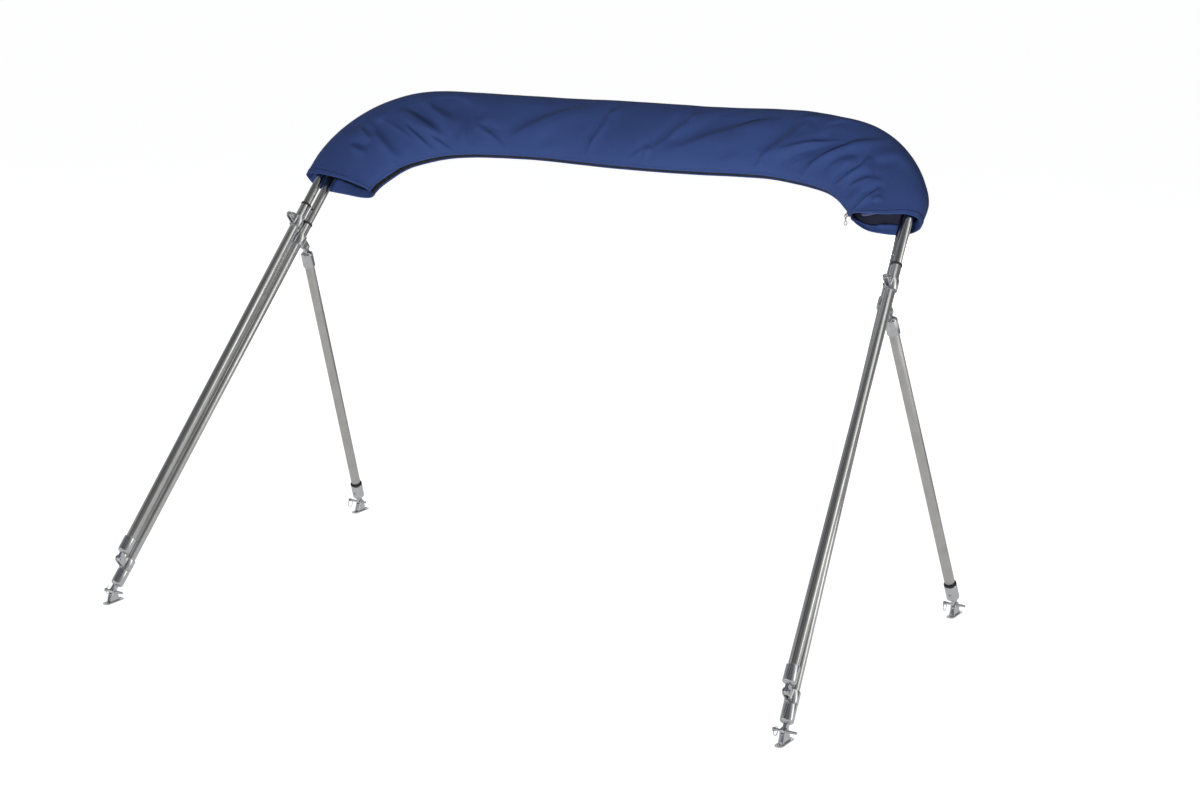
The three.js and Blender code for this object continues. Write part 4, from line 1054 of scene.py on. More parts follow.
# %% Broad folds, in the plane of the bow: from x, s to x, s, half width, rise
FRONT_FOLDS = [
    (-711, 1406, -538, 1369, 24, 5), (-694, 1390, -522, 1313, 26, -9), (-649, 1448, -479, 1358, 27, -9),
    (-587, 1463, -491, 1384, 22, 4), (-523, 1479, -412, 1434, 26, -5), (-496, 1351, -439, 1322, 20, -5),
    (-441, 1418, -423, 1348, 22, -6), (-384, 1388, -281, 1328, 26, -7), (-123, 1492, -277, 1387, 42, -8),
    (-27, 1477, -70, 1357, 26, -6), (225, 1499, 163, 1407, 30, -8), (163, 1407, 98, 1357, 26, -7),
    (445, 1497, 220, 1394, 38, -7), (507, 1449, 421, 1366, 26, -7), (560, 1440, 470, 1392, 24, 4),
    (666, 1490, 570, 1440, 24, -5), (708, 1471, 483, 1363, 30, -8), (735, 1440, 547, 1340, 24, -6),
    (760, 1412, 660, 1372, 20, 5), (715, 1394, 638, 1329, 22, -7), (738, 1346, 671, 1307, 22, -6),
    (756, 1312, 705, 1259, 22, -6),
]
BACK_FOLDS = [
    (-760, 1400, -590, 1320, 30, -7), (-420, 1490, -330, 1380, 36, -6), (-60, 1480, 40, 1370, 40, -7),
    (330, 1500, 230, 1380, 36, -6), (740, 1430, 580, 1340, 30, -7), (790, 1330, 700, 1290, 26, -6),
]


def beside_line(x, s, x0, s0, x1, s1):
    """A line's length, and how far points lie along it and to its right."""
    span = math.hypot(x1 - x0, s1 - s0)
    along = ((x - x0) * (x1 - x0) + (s - s0) * (s1 - s0)) / span
    beside = ((x - x0) * (s1 - s0) - (s - s0) * (x1 - x0)) / span
    return span, along, beside


def broad_folds(folds, x, s):
    """How far the folds raise the cloth: each is a soft ridge or valley with round ends."""
    rise = np.zeros_like(x)
    for *line, width, height in folds:
        span, along, beside = beside_line(x, s, *line)
        beyond = np.maximum(np.maximum(-along, along - span), 0)
        rise += height * np.exp(-2 * (beside**2 + beyond**2) / width**2)
    return rise


print("broad folds", len(FRONT_FOLDS), "in front and", len(BACK_FOLDS), "behind")

# %% Creases, steep on their left: from x, s to x, s, half width, rise, bend
FRONT_CREASES = [
    (-696, 1394, -523, 1313, 8, 3.6, 4), (-612, 1378, -499, 1316, 3.6, 3, -1),
    (-640, 1432, -474, 1353, 11, 5.8, -2), (-576, 1450, -466, 1401, 10, 4.2, -3),
    (-536, 1357, -437, 1321, 3.4, 2.7, 2), (-444, 1423, -425, 1353, 4, 3, -2),
    (-393, 1396, -281, 1325, 6, 4.1, 7), (-278, 1353, -245, 1326, 3, 1.9, 0),
    (-292, 1379, -96, 1490, 14, 5.6, 5), (-722, 1370, -593, 1280, 7, 3, -5),
    (-751, 1362, -713, 1331, 5, 2.7, 0), (-763, 1308, -714, 1291, 6, 2.4, 0),
    (-624, 1285, -606, 1270, 4, 2, 0), (-762, 1392, -800, 1352, 10, -2, 3),
    (-470, 1478, -560, 1486, 9, 1.6, -3), (-68, 1354, -24, 1476, 5, 4.1, -7),
    (-37, 1454, -10, 1492, 5, 3, -2), (0, 1390, 14, 1339, 3, 1.6, 0), (124, 1377, 229, 1504, 8, 4.6, -6),
    (199, 1464, 205, 1492, 4, 2.7, 0), (95, 1347, 113, 1382, 3.6, 3.2, 0),
    (71, 1353, 110, 1382, 3.6, 2.7, 2), (203, 1389, 404, 1466, 13, 5, 4),
    (340, 1453, 446, 1487, 10, 3.4, 3), (405, 1352, 429, 1372, 4, 2.7, 0),
    (413, 1371, 516, 1474, 10, 5, -8), (484, 1490, 550, 1508, 5, 2.2, 2),
    (572, 1479, 642, 1495, 5, -1.9, 5), (542, 1345, 724, 1450, 10, 5.6, 15),
    (490, 1400, 668, 1452, 5, 3.5, 5), (640, 1330, 709, 1389, 4.6, 4.9, -9),
    (703, 1258, 758, 1313, 4.6, 4.9, -3), (682, 1320, 743, 1341, 6, 3.4, 2),
    (711, 1375, 738, 1349, 9, 1.6, -3), (508, 1369, 560, 1389, 5, 2.4, 2),
    (611, 1363, 667, 1391, 8, 2.2, 3), (757, 1281, 769, 1294, 4, 1.9, 0),
    (300, 1350, 362, 1374, 7, 1.4, 2), (-212, 1351, -150, 1366, 7, 1.4, 2),
    (668, 1476, 590, 1500, 7, 1.4, -4), (818, 1382, 760, 1440, 9, 1.6, 5),
]
BACK_CREASES = [
    (-600, 1330, -770, 1405, 9, 4.2, 8), (-640, 1300, -730, 1360, 6, 2.8, 5),
    (-560, 1400, -690, 1450, 8, 2.6, 6), (-480, 1345, -560, 1400, 5, 3.0, 4),
    (-330, 1385, -425, 1492, 9, 4.0, 8), (-250, 1360, -200, 1440, 6, 2.8, 5),
    (-110, 1350, 30, 1470, 11, 4.2, 10), (60, 1380, -20, 1480, 7, 2.4, 6),
    (150, 1470, 210, 1370, 8, 3.0, 6), (250, 1370, 320, 1500, 9, 3.2, 8),
    (400, 1370, 500, 1440, 8, 3.2, 6), (560, 1345, 700, 1430, 10, 4.6, 9),
    (640, 1330, 760, 1400, 5, 3.0, 6), (690, 1290, 800, 1340, 6, 3.2, 5),
    (600, 1480, 690, 1440, 7, 2.0, 4),
]
PAST_ENDS = 0.12  # a crease fades out this share of its length past its ends
WIDTH_AT_START, WIDENS = 0.75, 0.5
SPREAD, CREST_ROUNDNESS = 2.1, 0.008
CREST, TROUGH = 2.8, 1.6  # how high a crest stands for its rise, and how deep its trough goes
STEEP_SIDE, SLOW_SIDE = 0.42, 0.6  # how soon each side of the crest is over


def sharp_creases(lines, x, s):
    """How far the creases raise the cloth."""
    rise = np.zeros_like(x)
    for *line, half, height, bend in lines:
        span, along, beside = beside_line(x, s, *line)
        along = along / span
        inside = np.clip(along, 0, 1)
        beside = beside + 4 * bend * inside * (1 - inside)
        fade = np.sin(np.pi * np.clip((along + PAST_ENDS) / (1 + 2 * PAST_ENDS), 0, 1)) ** 0.8
        away = beside / (SPREAD * half * (WIDTH_AT_START + WIDENS * inside))
        left = (np.sqrt(away**2 + CREST_ROUNDNESS) - away) / 2
        right = left + away
        fall = np.exp(-STEEP_SIDE * left**2 - SLOW_SIDE * right**2)
        rise += CREST * height * fade * (1 - TROUGH * left) * fall
    return rise


def soft_limit(value, lowest, softness=1.6):
    """Keeps value above lowest, with a soft landing instead of an edge."""
    return 0.5 * (value + lowest + np.sqrt((value - lowest) ** 2 + softness**2))


print("creases", len(FRONT_CREASES), "in front and", len(BACK_CREASES), "behind")

# %% [markdown]
# Cloth is never quite smooth between its folds. A sum of a few seeded waves of different length
# gives it small bumps, and the sewn edges get short puckers across the stitch line. A fold sinks in
# until it meets the canopy inside the boot.

# %% Small unevenness
rng = np.random.default_rng(11)


def bumps(x, s, waves, longest, shortest, stretch=1.0):
    """A smooth uneven height, from waves in seeded directions."""
    height = np.zeros(np.broadcast(x, s).shape)
    for length in np.geomspace(longest, shortest, waves):
        heading, start = rng.uniform(0, 2 * math.pi, 2)
        across = x * math.cos(heading) * stretch + s * math.sin(heading)
        height += length * np.sin(2 * np.pi * across / length + start + 1.7 * np.sin(across / length / 2.3))
    return height / (waves * longest) * 2


# %% The boot's surface
CANOPY_FRONT, CANOPY_BACK = 43.8, -29.5  # no fold goes deeper than what lies inside
SINK = 4.5  # nor, where the boot is thinner than that, deeper than this


def boot_surface(place, angle, depth):
    """Points (x, s, forward) under the boot's outside, for places along it and angles round it."""
    place, angle, depth = np.broadcast_arrays(place, angle, depth)
    outer, inner = along_curve(BOOT_ROWS[:, :2], place), along_curve(BOOT_ROWS[:, 2:], place)
    across = outer - inner
    width = np.linalg.norm(across, axis=-1)
    across /= width[..., None]
    power = 2 / (OUTER_POWER + (INNER_POWER - OUTER_POWER) * (1 - np.cos(angle)) / 2)
    toward_edge = across * ((width / 2 - depth) * signed_power(np.cos(angle), power))[..., None]
    flat = (outer + inner) / 2 + toward_edge
    x, s = flat[..., 0], flat[..., 1]
    forward = MIDDLE + (HALF_DEPTH - depth) * signed_power(np.sin(angle), power)
    front = np.sin(angle) >= 0
    reach = np.sqrt(np.abs(np.sin(angle)))
    front_fold = broad_folds(FRONT_FOLDS, x, s) + sharp_creases(FRONT_CREASES, x, s)
    back_fold = broad_folds(BACK_FOLDS, x, s) + sharp_creases(BACK_CREASES, x, s)
    floor = np.minimum(forward - SINK * reach, CANOPY_FRONT - depth)
    roof = np.maximum(forward + SINK * reach, CANOPY_BACK + depth)
    ahead = soft_limit(forward + front_fold * reach, floor)
    behind = -soft_limit(-forward + back_fold * reach, -roof)
    forward = np.where(front, ahead * reach + forward * (1 - reach), behind * reach + forward * (1 - reach))
    return np.stack([x, s, forward], axis=-1)


middle_round = boot_surface(0.5, np.linspace(0, 2 * math.pi, 90), 0.0)
print("boot", round(float(np.ptp(middle_round[:, 2]))), "mm thick in the middle")

# %% [markdown]
# ## The boot's two panels
# Each panel is one piece of cloth. Its long edges are turned in where they are sewn, and its mouths
# have a wide hem: the cloth goes round and back inside, and the grid does the same, so that the fold
# is really there. The mesh is the cloth's outer face, and Solidify gives it its thickness and the
# coated inner face. The inner face's colour is the coating's grey made darker, as painted shade for
# the inside of the boot.

# %% Grid of cloth


def cloth_mesh(name, points, along, round_it, look, inner_look=None, thick=1.1):
    """A sheet from a grid of points in the bow plane, with a UV map in metres and a thickness."""
    rows, columns = points.shape[:2]
    at = np.arange(rows * columns).reshape(rows, columns)
    corners = np.stack([at[:-1, :-1], at[:-1, 1:], at[1:, 1:], at[1:, :-1]], axis=-1).reshape(-1, 4)
    mesh = bpy.data.meshes.new(name)
    mesh.from_pydata(points.reshape(-1, 3).tolist(), [], corners.tolist())
    metres = np.stack([along * MM, round_it * MM], axis=-1).reshape(-1, 2)
    layer = mesh.uv_layers.new(name="cloth")
    layer.uv.foreach_set("vector", metres[corners.reshape(-1)].astype(np.float32).reshape(-1))
    piece = bpy.data.objects.new(name, mesh)
    bpy.context.collection.objects.link(piece)
    mesh.materials.append(look)
    mesh.materials.append(inner_look or look)
    mesh.shade_smooth()
    apply_modifier(piece, "SOLIDIFY", thickness=thick, offset=-1, material_offset=1, use_even_offset=False)
    return moved(piece, BOW_PLANE)


def seam_angle(distance):
    """The angle from the outer seam of a point that stands so far forwards."""
    return math.asin((distance / HALF_DEPTH) ** (OUTER_POWER / 2))


def zip_angle(distance):
    """The angle of a point that stands so far in front of the zip."""
    return math.pi - distance / HALF_DEPTH


def near(value, middle, width):
    """A smooth bell: 1 at the middle and soon 0 beyond the width."""
    return np.exp(-(((value - middle) / width) ** 2))


def slack_at(place):
    """How far the front panel's edge stands off the zip, in mm: it pulls away towards the left mouth."""
    return 3.6 * near(place, 0, 0.2)


# %% Rows and columns of the grid
TAPE_SHOWS = 5  # half of the zip's width between the panels
MIDDLE_COLUMNS, MIDDLE_ROWS = 54, 470


def columns_round():
    """Angles from the seam to the zip, their depths under the outside, closer at both edges."""
    dense = np.linspace(seam_angle(9), zip_angle(24), 2000)
    line = boot_surface(0.5, dense, 0.0)
    lengths = np.concatenate([[0], np.cumsum(np.linalg.norm(np.diff(line, axis=0), axis=1))])
    middle = np.interp(np.linspace(0, lengths[-1], MIDDLE_COLUMNS), lengths, dense)
    seam = [(seam_angle(0.3), 4.5), (seam_angle(0.25), 2.2), (seam_angle(0.35), 0.7), (seam_angle(0.9), 0.1)]
    seam += [(seam_angle(d), 0) for d in (2.2, 4.2, 6.5)]
    edge = [(zip_angle(TAPE_SHOWS + d), h) for d, h in (
        (16, 0), (13, 0), (11, 0), (9.8, 0.2), (8.8, 0.8), (7.8, 1.5), (6.9, 0.6), (6, -0.3), (4, -0.8),
        (2, -0.7), (0.8, -0.2), (0.2, 0.5), (0, 1.2), (0.5, 2.1),
    )]
    pairs = seam + [(angle, 0) for angle in middle] + edge
    return np.array(pairs).T


def rows_along(turned_in):
    """Places along the boot and their depths: the hem comes back inside at both mouths."""
    hem = [(mm, 3.0) for mm in np.linspace(turned_in, 24, 4)[:-1]] + [
        (21, 2.7), (14, 2.8), (6, 2.8), (2, 2.6), (0.7, 1.9), (0.2, 0.8), (0.6, -0.2), (1.6, -0.7),
        (4, -0.8), (8, -1.0), (12, -1.2), (15.5, -1.4), (17.5, -1.0), (18.6, 0.2), (19.4, 1.7),
        (20.2, 0.7), (21.2, 0), (22.5, 0.1), (24.5, 0), (27.5, 0),
    ]
    start = [(mm * PLACE_PER_MM, depth) for mm, depth in hem]
    end = [(1 - place, depth) for place, depth in reversed(start)]
    between = np.linspace(start[-1][0], end[0][0], MIDDLE_ROWS)[1:-1]
    return np.array(start + [(place, 0) for place in between] + end).T


def lengths_along(points, axis):
    """The running length of each line of the grid."""
    steps = np.linalg.norm(np.diff(points, axis=axis), axis=-1)
    pad = [(0, 0), (0, 0)]
    pad[axis] = (1, 0)
    return np.cumsum(np.pad(steps, pad), axis=axis)


# %% Panels
HEM_IN_FRONT, HEM_IN_BACK = 25, 46  # how far the cloth goes back inside a mouth, in mm
UNEVEN, PUCKER, LOOSE = 0.9, 0.5, 2.3  # mm of bumps, of puckers and of slack in the back's hem
MM_ROUND = 60  # turns an angle round the boot into mm, for the bumps
# Where a mouth's hem hangs lower: angle, how wide, and by how much at the left and right mouth. A
# millimetre is measured on the seam, and is much less on the inside of the bow.
HEM_FRONT = [(1.85, 0.75, 0, 32)]
HEM_BACK = [(3.85, 0.5, 0, 44), (4.7, 0.6, 0, 26), (5.5, 0.5, 7, 6)]


def boot_panel(name, back):
    """One panel with its hems, folds, bumps and puckers, and the grid that it was made from."""
    places, hem_depth = rows_along(HEM_IN_BACK if back else HEM_IN_FRONT)
    angles, edge_depth = columns_round()
    place, from_seam = np.meshgrid(places, angles, indexing="ij")
    angle = 2 * math.pi - from_seam if back else from_seam
    for at, width, left, right in HEM_BACK if back else HEM_FRONT:
        lower = right * near(1 - places, 0, 0.04) - left * near(places, 0, 0.035)
        place = place + near(angle, at, width) * lower[:, None] * PLACE_PER_MM
    if not back:
        front_of_zip = (math.pi - angle) * HALF_DEPTH
        angle = angle - slack_at(place) / HALF_DEPTH * near(front_of_zip, TAPE_SHOWS, 22)
    depth = hem_depth[:, None] + edge_depth[None, :]
    mm_along, mm_in = place / PLACE_PER_MM, np.minimum(place, 1 - place) / PLACE_PER_MM
    if back:
        loose = np.clip((mm_in - 3) / 20, 0, 1) * (hem_depth > 2.4)[:, None]
        depth = depth + LOOSE * (1 + bumps(angle * MM_ROUND, mm_along * 0.5, 5, 44, 13)) * loose
    points = boot_surface(place, angle, np.maximum(depth, -2.0))
    x, s = points[..., 0], points[..., 1]
    from_zip = (np.pi - (2 * math.pi - angle if back else angle)) * HALF_DEPTH
    pucker = bumps(mm_along, 0 * s, 5, 31, 9) * near(from_zip, 13, 7)
    pucker += bumps(0 * x, angle * MM_ROUND, 4, 30, 11) * near(mm_in, 20, 9)
    uneven = bumps(x, s, 7, 150, 34) * np.abs(np.sin(angle)) ** 0.7
    proud = UNEVEN * uneven + PUCKER * pucker * np.abs(np.sin(angle)) ** 0.3
    points[..., 2] += proud * (-1 if back else 1)
    middle_column = lengths_along(points, 0)[:, points.shape[1] // 2]
    along = np.repeat(middle_column[:, None], points.shape[1], axis=1)
    round_it = lengths_along(points, 1)
    if back:
        points, round_it = points[:, ::-1], round_it[:, ::-1]
    return cloth_mesh(name, points, along, round_it, boot_cloth, coating_and_painted_shade), points


boot_front, front_points = boot_panel("boot_front_cloth", back=False)
boot_back, back_points = boot_panel("boot_back_cloth", back=True)
print("boot grids", front_points.shape[:2], back_points.shape[:2])

# %% [markdown]
# ## Stitches
# A row of stitches holds each hem and each side of the zip. One stitch is a tiny rounded bar a few
# faces round. It is copied along the line of the cloth's own grid where the groove of the seam is,
# so that it follows every pucker.

# %% Rows of small copies


def in_rows(name, model, frames, look):
    """One mesh of many copies of a model, each in its own frame (4 by 4, in the bow plane)."""
    corners = np.array([(*v.co, 1) for v in model.data.vertices])
    faces = [list(face.vertices) for face in model.data.polygons]
    placed = np.einsum("nij,vj->nvi", np.array(frames), corners)[..., :3]
    count = len(corners)
    mesh = bpy.data.meshes.new(name)
    mesh.from_pydata(
        placed.reshape(-1, 3).tolist(), [],
        [[v + n * count for v in face] for n in range(len(frames)) for face in faces],
    )
    mesh.shade_smooth()
    piece = bpy.data.objects.new(name, mesh)
    bpy.context.collection.objects.link(piece)
    mesh.materials.append(look)
    return moved(piece, BOW_PLANE)


def frames_along(line, beside, pitch, skip=0.5):
    """Frames every pitch along a line: X along it, Z away from the cloth, Y towards the beside line."""
    length = np.concatenate([[0], np.cumsum(np.linalg.norm(np.diff(line, axis=0), axis=1))])
    places = np.arange(skip * pitch, length[-1] - skip * pitch, pitch)

    def on(curve, where):
        return np.stack([np.interp(where, length, curve[:, k]) for k in range(3)], 1)

    at, near_by = on(line, places), on(beside, places)
    step = on(line, places + 0.4 * pitch) - on(line, places - 0.4 * pitch)
    along = step / np.linalg.norm(step, axis=1)[:, None]
    side = near_by - at
    side -= along * np.sum(side * along, axis=1)[:, None]
    side /= np.linalg.norm(side, axis=1)[:, None]
    frames = np.zeros((len(places), 4, 4))
    for axis, direction in enumerate((along, side, np.cross(along, side), at)):
        frames[:, :3, axis] = direction
    frames[:, 3, 3] = 1
    return frames


def turned_out(frames):
    """Turns the frames so that Z points out of the boot."""
    middle = frames[:, :3, 3].copy()
    outer, inner = BOOT_ROWS[:, :2], BOOT_ROWS[:, 2:]
    spine = (outer + inner) / 2
    nearest = spine[np.argmin(np.linalg.norm(middle[:, None, :2] - spine[None], axis=2), axis=1)]
    outwards = middle - np.concatenate([nearest, np.full((len(middle), 1), MIDDLE)], axis=1)
    wrong = np.sum(outwards * frames[:, :3, 2], axis=1) < 0
    frames[wrong, :, 1:3] *= -1
    return frames


# %% One stitch and its rows
stitch = added(
    bpy.ops.mesh.primitive_cylinder_add, vertices=6, radius=0.42, depth=1.7, rotation=(0, math.pi / 2, 0)
)
for _ in range(2):
    ends = {face.index for face in sorted(stitch.data.polygons, key=lambda face: -abs(face.center.x))[:2]}
    select_where(stitch, "FACE", lambda face: face.index in ends)
    bpy.ops.mesh.inset(thickness=0.14, depth=0.22, use_individual=True)
    bpy.ops.object.mode_set(mode="OBJECT")

# The grid's own lines that a row of stitches follows, counted from a mouth and from the zip.
HEM_ROW, ZIP_COLUMN, STITCH_PITCH = 21, -8, 3.6
stitch_frames = []
for points in (front_points, back_points[:, ::-1]):
    hem_rows = [HEM_ROW, len(points) - 1 - HEM_ROW]
    inside = slice(hem_rows[0] - 3, hem_rows[1] + 4)
    lines = [(points[inside, ZIP_COLUMN], points[inside, ZIP_COLUMN - 2])]
    lines += [(points[row, 6:-9], points[row - 2, 6:-9]) for row in hem_rows]
    stitch_frames += [frames_along(line, beside, STITCH_PITCH) for line, beside in lines]
stitch_frames = turned_out(np.concatenate(stitch_frames))
stitching = in_rows("boot_stitching", stitch, stitch_frames, thread_finish)
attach(stitching, "frame")
put_away(stitch)
print("stitches", len(stitch_frames))

# %% [markdown]
# ## The zip
# A zip is a woven tape with moulded teeth along its middle. The tape is a narrow sheet just under
# the edges of the two panels. A tooth is a small block with rounded shoulders, and the left and
# right ones lie in turn, so that together they look like a spine.

# %% Zip tape
TAPE_DEPTH, RIB, RIB_PITCH = 2.55, 0.12, 2.2
tape_places = np.linspace(22 * PLACE_PER_MM, 1 - 22 * PLACE_PER_MM, 480)
TAPE_COLUMNS = np.array([-9, -6.5, -4, -2.2, -1, 0, 1, 2.2, 4, 6.5, 9])
tape_angles = math.pi + TAPE_COLUMNS / HALF_DEPTH
place, angle = np.meshgrid(tape_places, tape_angles, indexing="ij")
ribs = RIB * np.cos(2 * np.pi * (angle - math.pi) * HALF_DEPTH / RIB_PITCH)
wider = slack_at(place) / TAPE_COLUMNS[-1] * (math.pi - angle)
angle = np.where(angle < math.pi, angle - wider, angle)
tape_points = boot_surface(place, angle, TAPE_DEPTH + ribs)
middle_column = lengths_along(tape_points, 0)[:, len(tape_angles) // 2]
tape_along = np.repeat(middle_column[:, None], len(tape_angles), axis=1)
zip_tape = cloth_mesh(
    "zip_tape_cloth", tape_points, tape_along, lengths_along(tape_points, 1), tape_finish, thick=0.7
)
print("tape grid", tape_points.shape[:2])

# %% Zip teeth
TOOTH_PITCH, TOOTH_DEPTH, TOOTH_ASIDE = 1.3, 2.0, 1.05
tooth = added(bpy.ops.mesh.primitive_cube_add, size=1, scale=(1.35, 3.0, 1.3))
select_where(tooth, "FACE", lambda face: face.normal.z > 0.9)
bpy.ops.transform.resize(value=(0.75, 0.9, 1))
bpy.ops.mesh.inset(thickness=0.25, depth=0.25)
bpy.ops.object.mode_set(mode="OBJECT")
zip_line, zip_side = (
    boot_surface(tape_places, np.full_like(tape_places, math.pi + turn), TOOTH_DEPTH) for turn in (0, 0.05)
)
tooth_frames = turned_out(frames_along(zip_line, zip_side, TOOTH_PITCH, skip=3))
swap = np.where(np.arange(len(tooth_frames)) % 2 == 0, TOOTH_ASIDE, -TOOTH_ASIDE)
tooth_frames[:, :3, 3] += tooth_frames[:, :3, 1] * swap[:, None]
teeth = in_rows("zip_teeth", tooth, tooth_frames, moulded)
for polygon in teeth.data.polygons:
    polygon.use_smooth = False
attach(teeth, "frame")
put_away(tooth)
print("teeth", len(tooth_frames), "faces", len(teeth.data.polygons))

# %% [markdown]
# ## Slider and pull
# The slider has closed the zip and stopped at the right mouth. Its body is a small wedge that is
# wider where the two rows come in, with a wire bridge on top. The pull hangs straight down from the
# bridge: a small loop, a waist and a larger loop, bent from round wire.

# %% Slider
SLIDER_PLACE = 0.962
SLIDER_LENGTH, SLIDER_WIDTH, SLIDER_HEIGHT = 12, 8, 4
NARROW_END, NARROW_TOP, SHORT_TOP = 0.66, 0.86, 0.94
seat, ahead = boot_surface(np.array([SLIDER_PLACE, SLIDER_PLACE + 0.004]), np.full(2, math.pi), 1.4)
along = Vector(ahead - seat)
along.z = 0
along.normalize()
ahead_of_plane = Vector((0, 0, 1))
outwards = along.cross(ahead_of_plane)
SLIDER_FRAME = Matrix.Translation(seat) @ Matrix((along, ahead_of_plane, outwards)).transposed().to_4x4()
slider = added(
    bpy.ops.mesh.primitive_cube_add, size=1, location=(0, 0, SLIDER_HEIGHT / 2),
    scale=(SLIDER_LENGTH, SLIDER_WIDTH, SLIDER_HEIGHT),
)
bpy.ops.object.mode_set(mode="EDIT")
bpy.ops.mesh.subdivide(number_cuts=1)
bpy.ops.object.mode_set(mode="OBJECT")
for vertex in slider.data.vertices:
    if vertex.co.x < -1:
        vertex.co.y *= NARROW_END
    if vertex.co.z > SLIDER_HEIGHT - 0.1:
        vertex.co.y *= NARROW_TOP
        vertex.co.x *= SHORT_TOP
finish_edges(slider, 0.7, 25)
BRIDGE_HALF = 4.6
arch = [(-BRIDGE_HALF, 0, 2.8)]
arch += [(-BRIDGE_HALF * math.cos(t), 0, 6.0 + 2.5 * math.sin(t)) for t in np.linspace(0, math.pi, 17)]
arch += [(BRIDGE_HALF, 0, 2.8)]
slider = joined("slider_model", slider, wire("bridge", arch, 0.75, 3))
set_out(slider, "zip_slider", BOW_PLANE @ SLIDER_FRAME, "frame", SLIDER_PLASTIC)
put_away(slider)
print("slider", [round(float(v)) for v in seat], "mm in the bow plane")

# %% Pull: its loops by height, half width and half height
PULL_LOOPS = ((0.0, 3.65, 3.65), (-17.2, 3.75, 4.6))
THIN, PULL_WIRE = 0.2, 0.8  # the wire's radius in the torus, and in the pull
PULL_OUT, PULL_DOWN = 8.6, 1.1  # from the slider's seat to the middle of the upper loop
rings = []
for middle, wide, high in PULL_LOOPS:
    ring = added(
        bpy.ops.mesh.primitive_torus_add, major_segments=40, minor_segments=12, major_radius=1,
        minor_radius=THIN,
    )
    for vertex in ring.data.vertices:
        flat = math.hypot(vertex.co.x, vertex.co.y)
        sideways, upwards = vertex.co.x / flat, vertex.co.y / flat
        out = (flat - 1) / THIN * PULL_WIRE
        vertex.co = (
            sideways * (wide + out), upwards * (high + out) + middle, vertex.co.z / THIN * PULL_WIRE
        )
    finish_edges(ring, 0)
    rings.append(ring)
waist = spun("waist", [
    (0, -13.6), (1.0, -13.4), (1.25, -12.4), (0.95, -11.2), (0.9, -8.6), (1.7, -7.9), (1.9, -6.6),
    (1.7, -5.4), (0.95, -4.7), (0.85, -3.6), (0, -3.4),
], 16, 0)
pull = joined("pull_model", *rings, waist)
upright = Vector((0, math.sin(LEAN), math.cos(LEAN)))
facing = (along - along.dot(upright) * upright).normalized()
hangs = Vector(seat) + outwards * PULL_OUT - upright * PULL_DOWN
PULL_TURN = Matrix((upright.cross(facing), upright, facing)).transposed().to_4x4()
set_out(pull, "zip_pull", BOW_PLANE @ Matrix.Translation(hangs) @ PULL_TURN, "frame", PULL_METAL)
put_away(pull)
print("pull hangs", round(PULL_LOOPS[0][1] - PULL_LOOPS[1][0] + PULL_LOOPS[1][2]), "mm long")

# %% [markdown]
# ## The folded canopy
# The canopy is sewn round both bows and is folded to and fro between them. Its section is one line
# with round turns, and the sheet is that line drawn along the bow. The turns wander a few
# millimetres, as cloth tucked in by hand does, and no two layers end at quite the same place.

# %% Canopy: where the layers turn, outwards from the bow's middle line
CANOPY_TURNS = (-106, -24, -112, -24, -84)
HUG = UPPER_RADIUS + 1.4
TAIL = 21.5  # of cloth past the main bow
BULGE = 1.15  # how far a turn reaches out, where half a circle has 1
canopy_rng = np.random.default_rng(5)
wander = canopy_rng.uniform(0, 2 * math.pi, (len(CANOPY_TURNS) + 2, 3))


def wandering(distance, row, size):
    """How far a turn of the cloth is off its line, at a distance along the bow."""
    first, second, third = wander[row]
    return size * (
        0.55 * math.sin(distance / 71 + first) + 0.3 * math.sin(distance / 33 + second)
        + 0.15 * math.sin(distance / 13 + third)
    )


def canopy_section(distance):
    """The canopy's line across the bow, as (outwards, forwards) points."""
    out, forward = second_at(distance)
    low, high = -HUG, forward + HUG
    heights = np.linspace(low, high, len(CANOPY_TURNS) + 1)
    heights[1:-1] += [wandering(distance, row, 1.5) for row in range(1, len(CANOPY_TURNS))]
    line = []
    for t in np.linspace(0, 1, 7)[:-1]:
        hang = 2.4 * (1 - t) + 1.2 * math.sin(math.pi * t) + wandering(distance, 0, 0.8) * (1 - t)
        line.append((HUG + TAIL * (1 - t), hang))
    line += [(HUG * math.cos(t), HUG * math.sin(t)) for t in np.linspace(0, -math.pi / 2, 9)]
    reach = 0.0
    for row, turn_at in enumerate(CANOPY_TURNS):
        below, above = heights[row], heights[row + 1]
        radius = (above - below) / 2
        inwards = -1 if turn_at < -60 else 1
        place = turn_at + wandering(distance, row, 4.5 if inwards < 0 else 1.6) - inwards * radius
        sag = wandering(distance + 40, row + 1, 0.9)
        line += [
            (reach + (place - reach) * t, below + sag * math.sin(math.pi * t))
            for t in np.linspace(0, 1, 11)[1:]
        ]
        line += [
            (place + inwards * radius * BULGE * math.sin(t), below + radius * (1 - math.cos(t)))
            for t in np.linspace(0, math.pi, 9)[1:]
        ]
        reach = place
    line += [
        (reach + (out - reach) * t, high + 0.6 * math.sin(math.pi * t)) for t in np.linspace(0, 1, 11)[1:]
    ]
    line += [
        (out + HUG * math.cos(t), forward + HUG * math.sin(t)) for t in np.linspace(math.pi / 2, 0, 9)[1:]
    ]
    return np.array(line)


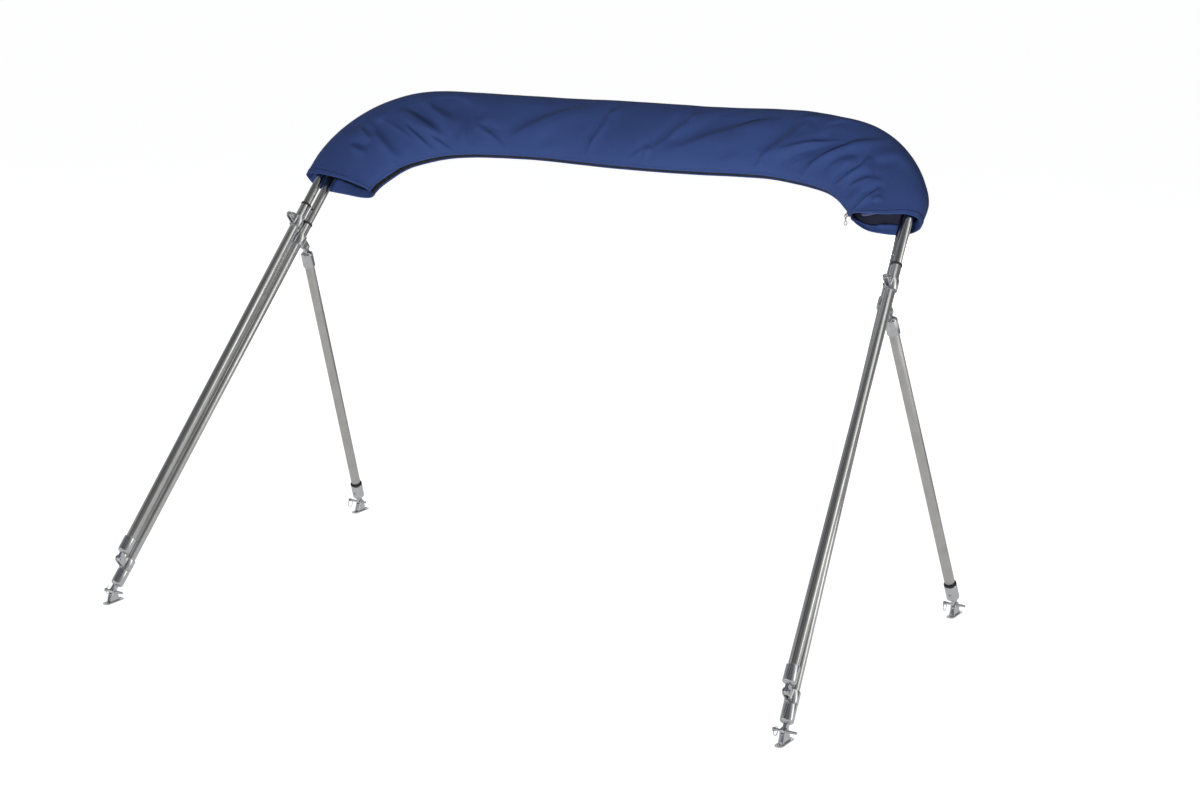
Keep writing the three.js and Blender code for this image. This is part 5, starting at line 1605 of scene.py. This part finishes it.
canopy_end = bend_end - corner_length / 7
UNEVEN_LENGTH = 60  # over which the layers' ends come apart
stations = np.linspace(-canopy_end, canopy_end, 230)
uneven_end = [5 + wandering(7.0 * k, 6, 5.0) for k in range(len(canopy_section(0)))]
canopy_points = []
for station in stations:
    near_end = min(max((abs(station) - canopy_end + UNEVEN_LENGTH) / UNEVEN_LENGTH, 0), 1)
    row = []
    for (out, forward), short in zip(canopy_section(station), uneven_end):
        x, s, out_x, out_s = bow_at(station - math.copysign(near_end * short, station))
        row.append((x + out * out_x, s + out * out_s, forward))
    canopy_points.append(row)
canopy_points = np.array(canopy_points)
canopy_along = np.repeat(stations[:, None], canopy_points.shape[1], axis=1)
canopy = cloth_mesh(
    "canopy_cloth", canopy_points, canopy_along, lengths_along(canopy_points, 1), canopy_cloth, thick=1.0
)
print("canopy grid", canopy_points.shape[:2])

# %% [markdown]
# ## The cloth's cut size
# Each sheet is put on the frame, and the size it was cut to is printed. The grid gives that: the
# longest row, the longest column and the area of its faces, because sewn cloth is bent but hardly
# stretched.

# %% Sheets


def cut_size(points):
    """The flat size of a sheet laid out as a grid: greatest width, greatest length and area."""
    across = np.linalg.norm(np.diff(points, axis=1), axis=-1).sum(axis=1)
    down = np.linalg.norm(np.diff(points, axis=0), axis=-1).sum(axis=0)
    first, second = np.diff(points, axis=0)[:, :-1], np.diff(points, axis=1)[:-1]
    area = np.linalg.norm(np.cross(first, second), axis=-1).sum()
    return (float(across.max()) * MM, float(down.max()) * MM), float(area) * MM**2


BOWS = ["main_bow_top", "second_bow_top"]
for sheet, points, node, slot_name, held, rests_on, on_it in (
    (boot_front, front_points, "boot_front_panel", "boot_canvas", "stretched", BOWS, [stitching]),
    (boot_back, back_points, "boot_back_panel", "boot_canvas", "stretched", BOWS, []),
    (
        zip_tape, tape_points, "zip_tape", "zip_tape", "stretched", ["boot_front_cloth", "boot_back_cloth"],
        [teeth],
    ),
    (canopy, canopy_points, "canopy", "canopy_canvas", "folded", BOWS, []),
):
    flat, area = cut_size(points)
    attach(sheet, "frame")
    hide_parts(node)
    print(node, "cut", [round(v, 3) for v in flat], "m, area", round(area, 3), "m2")
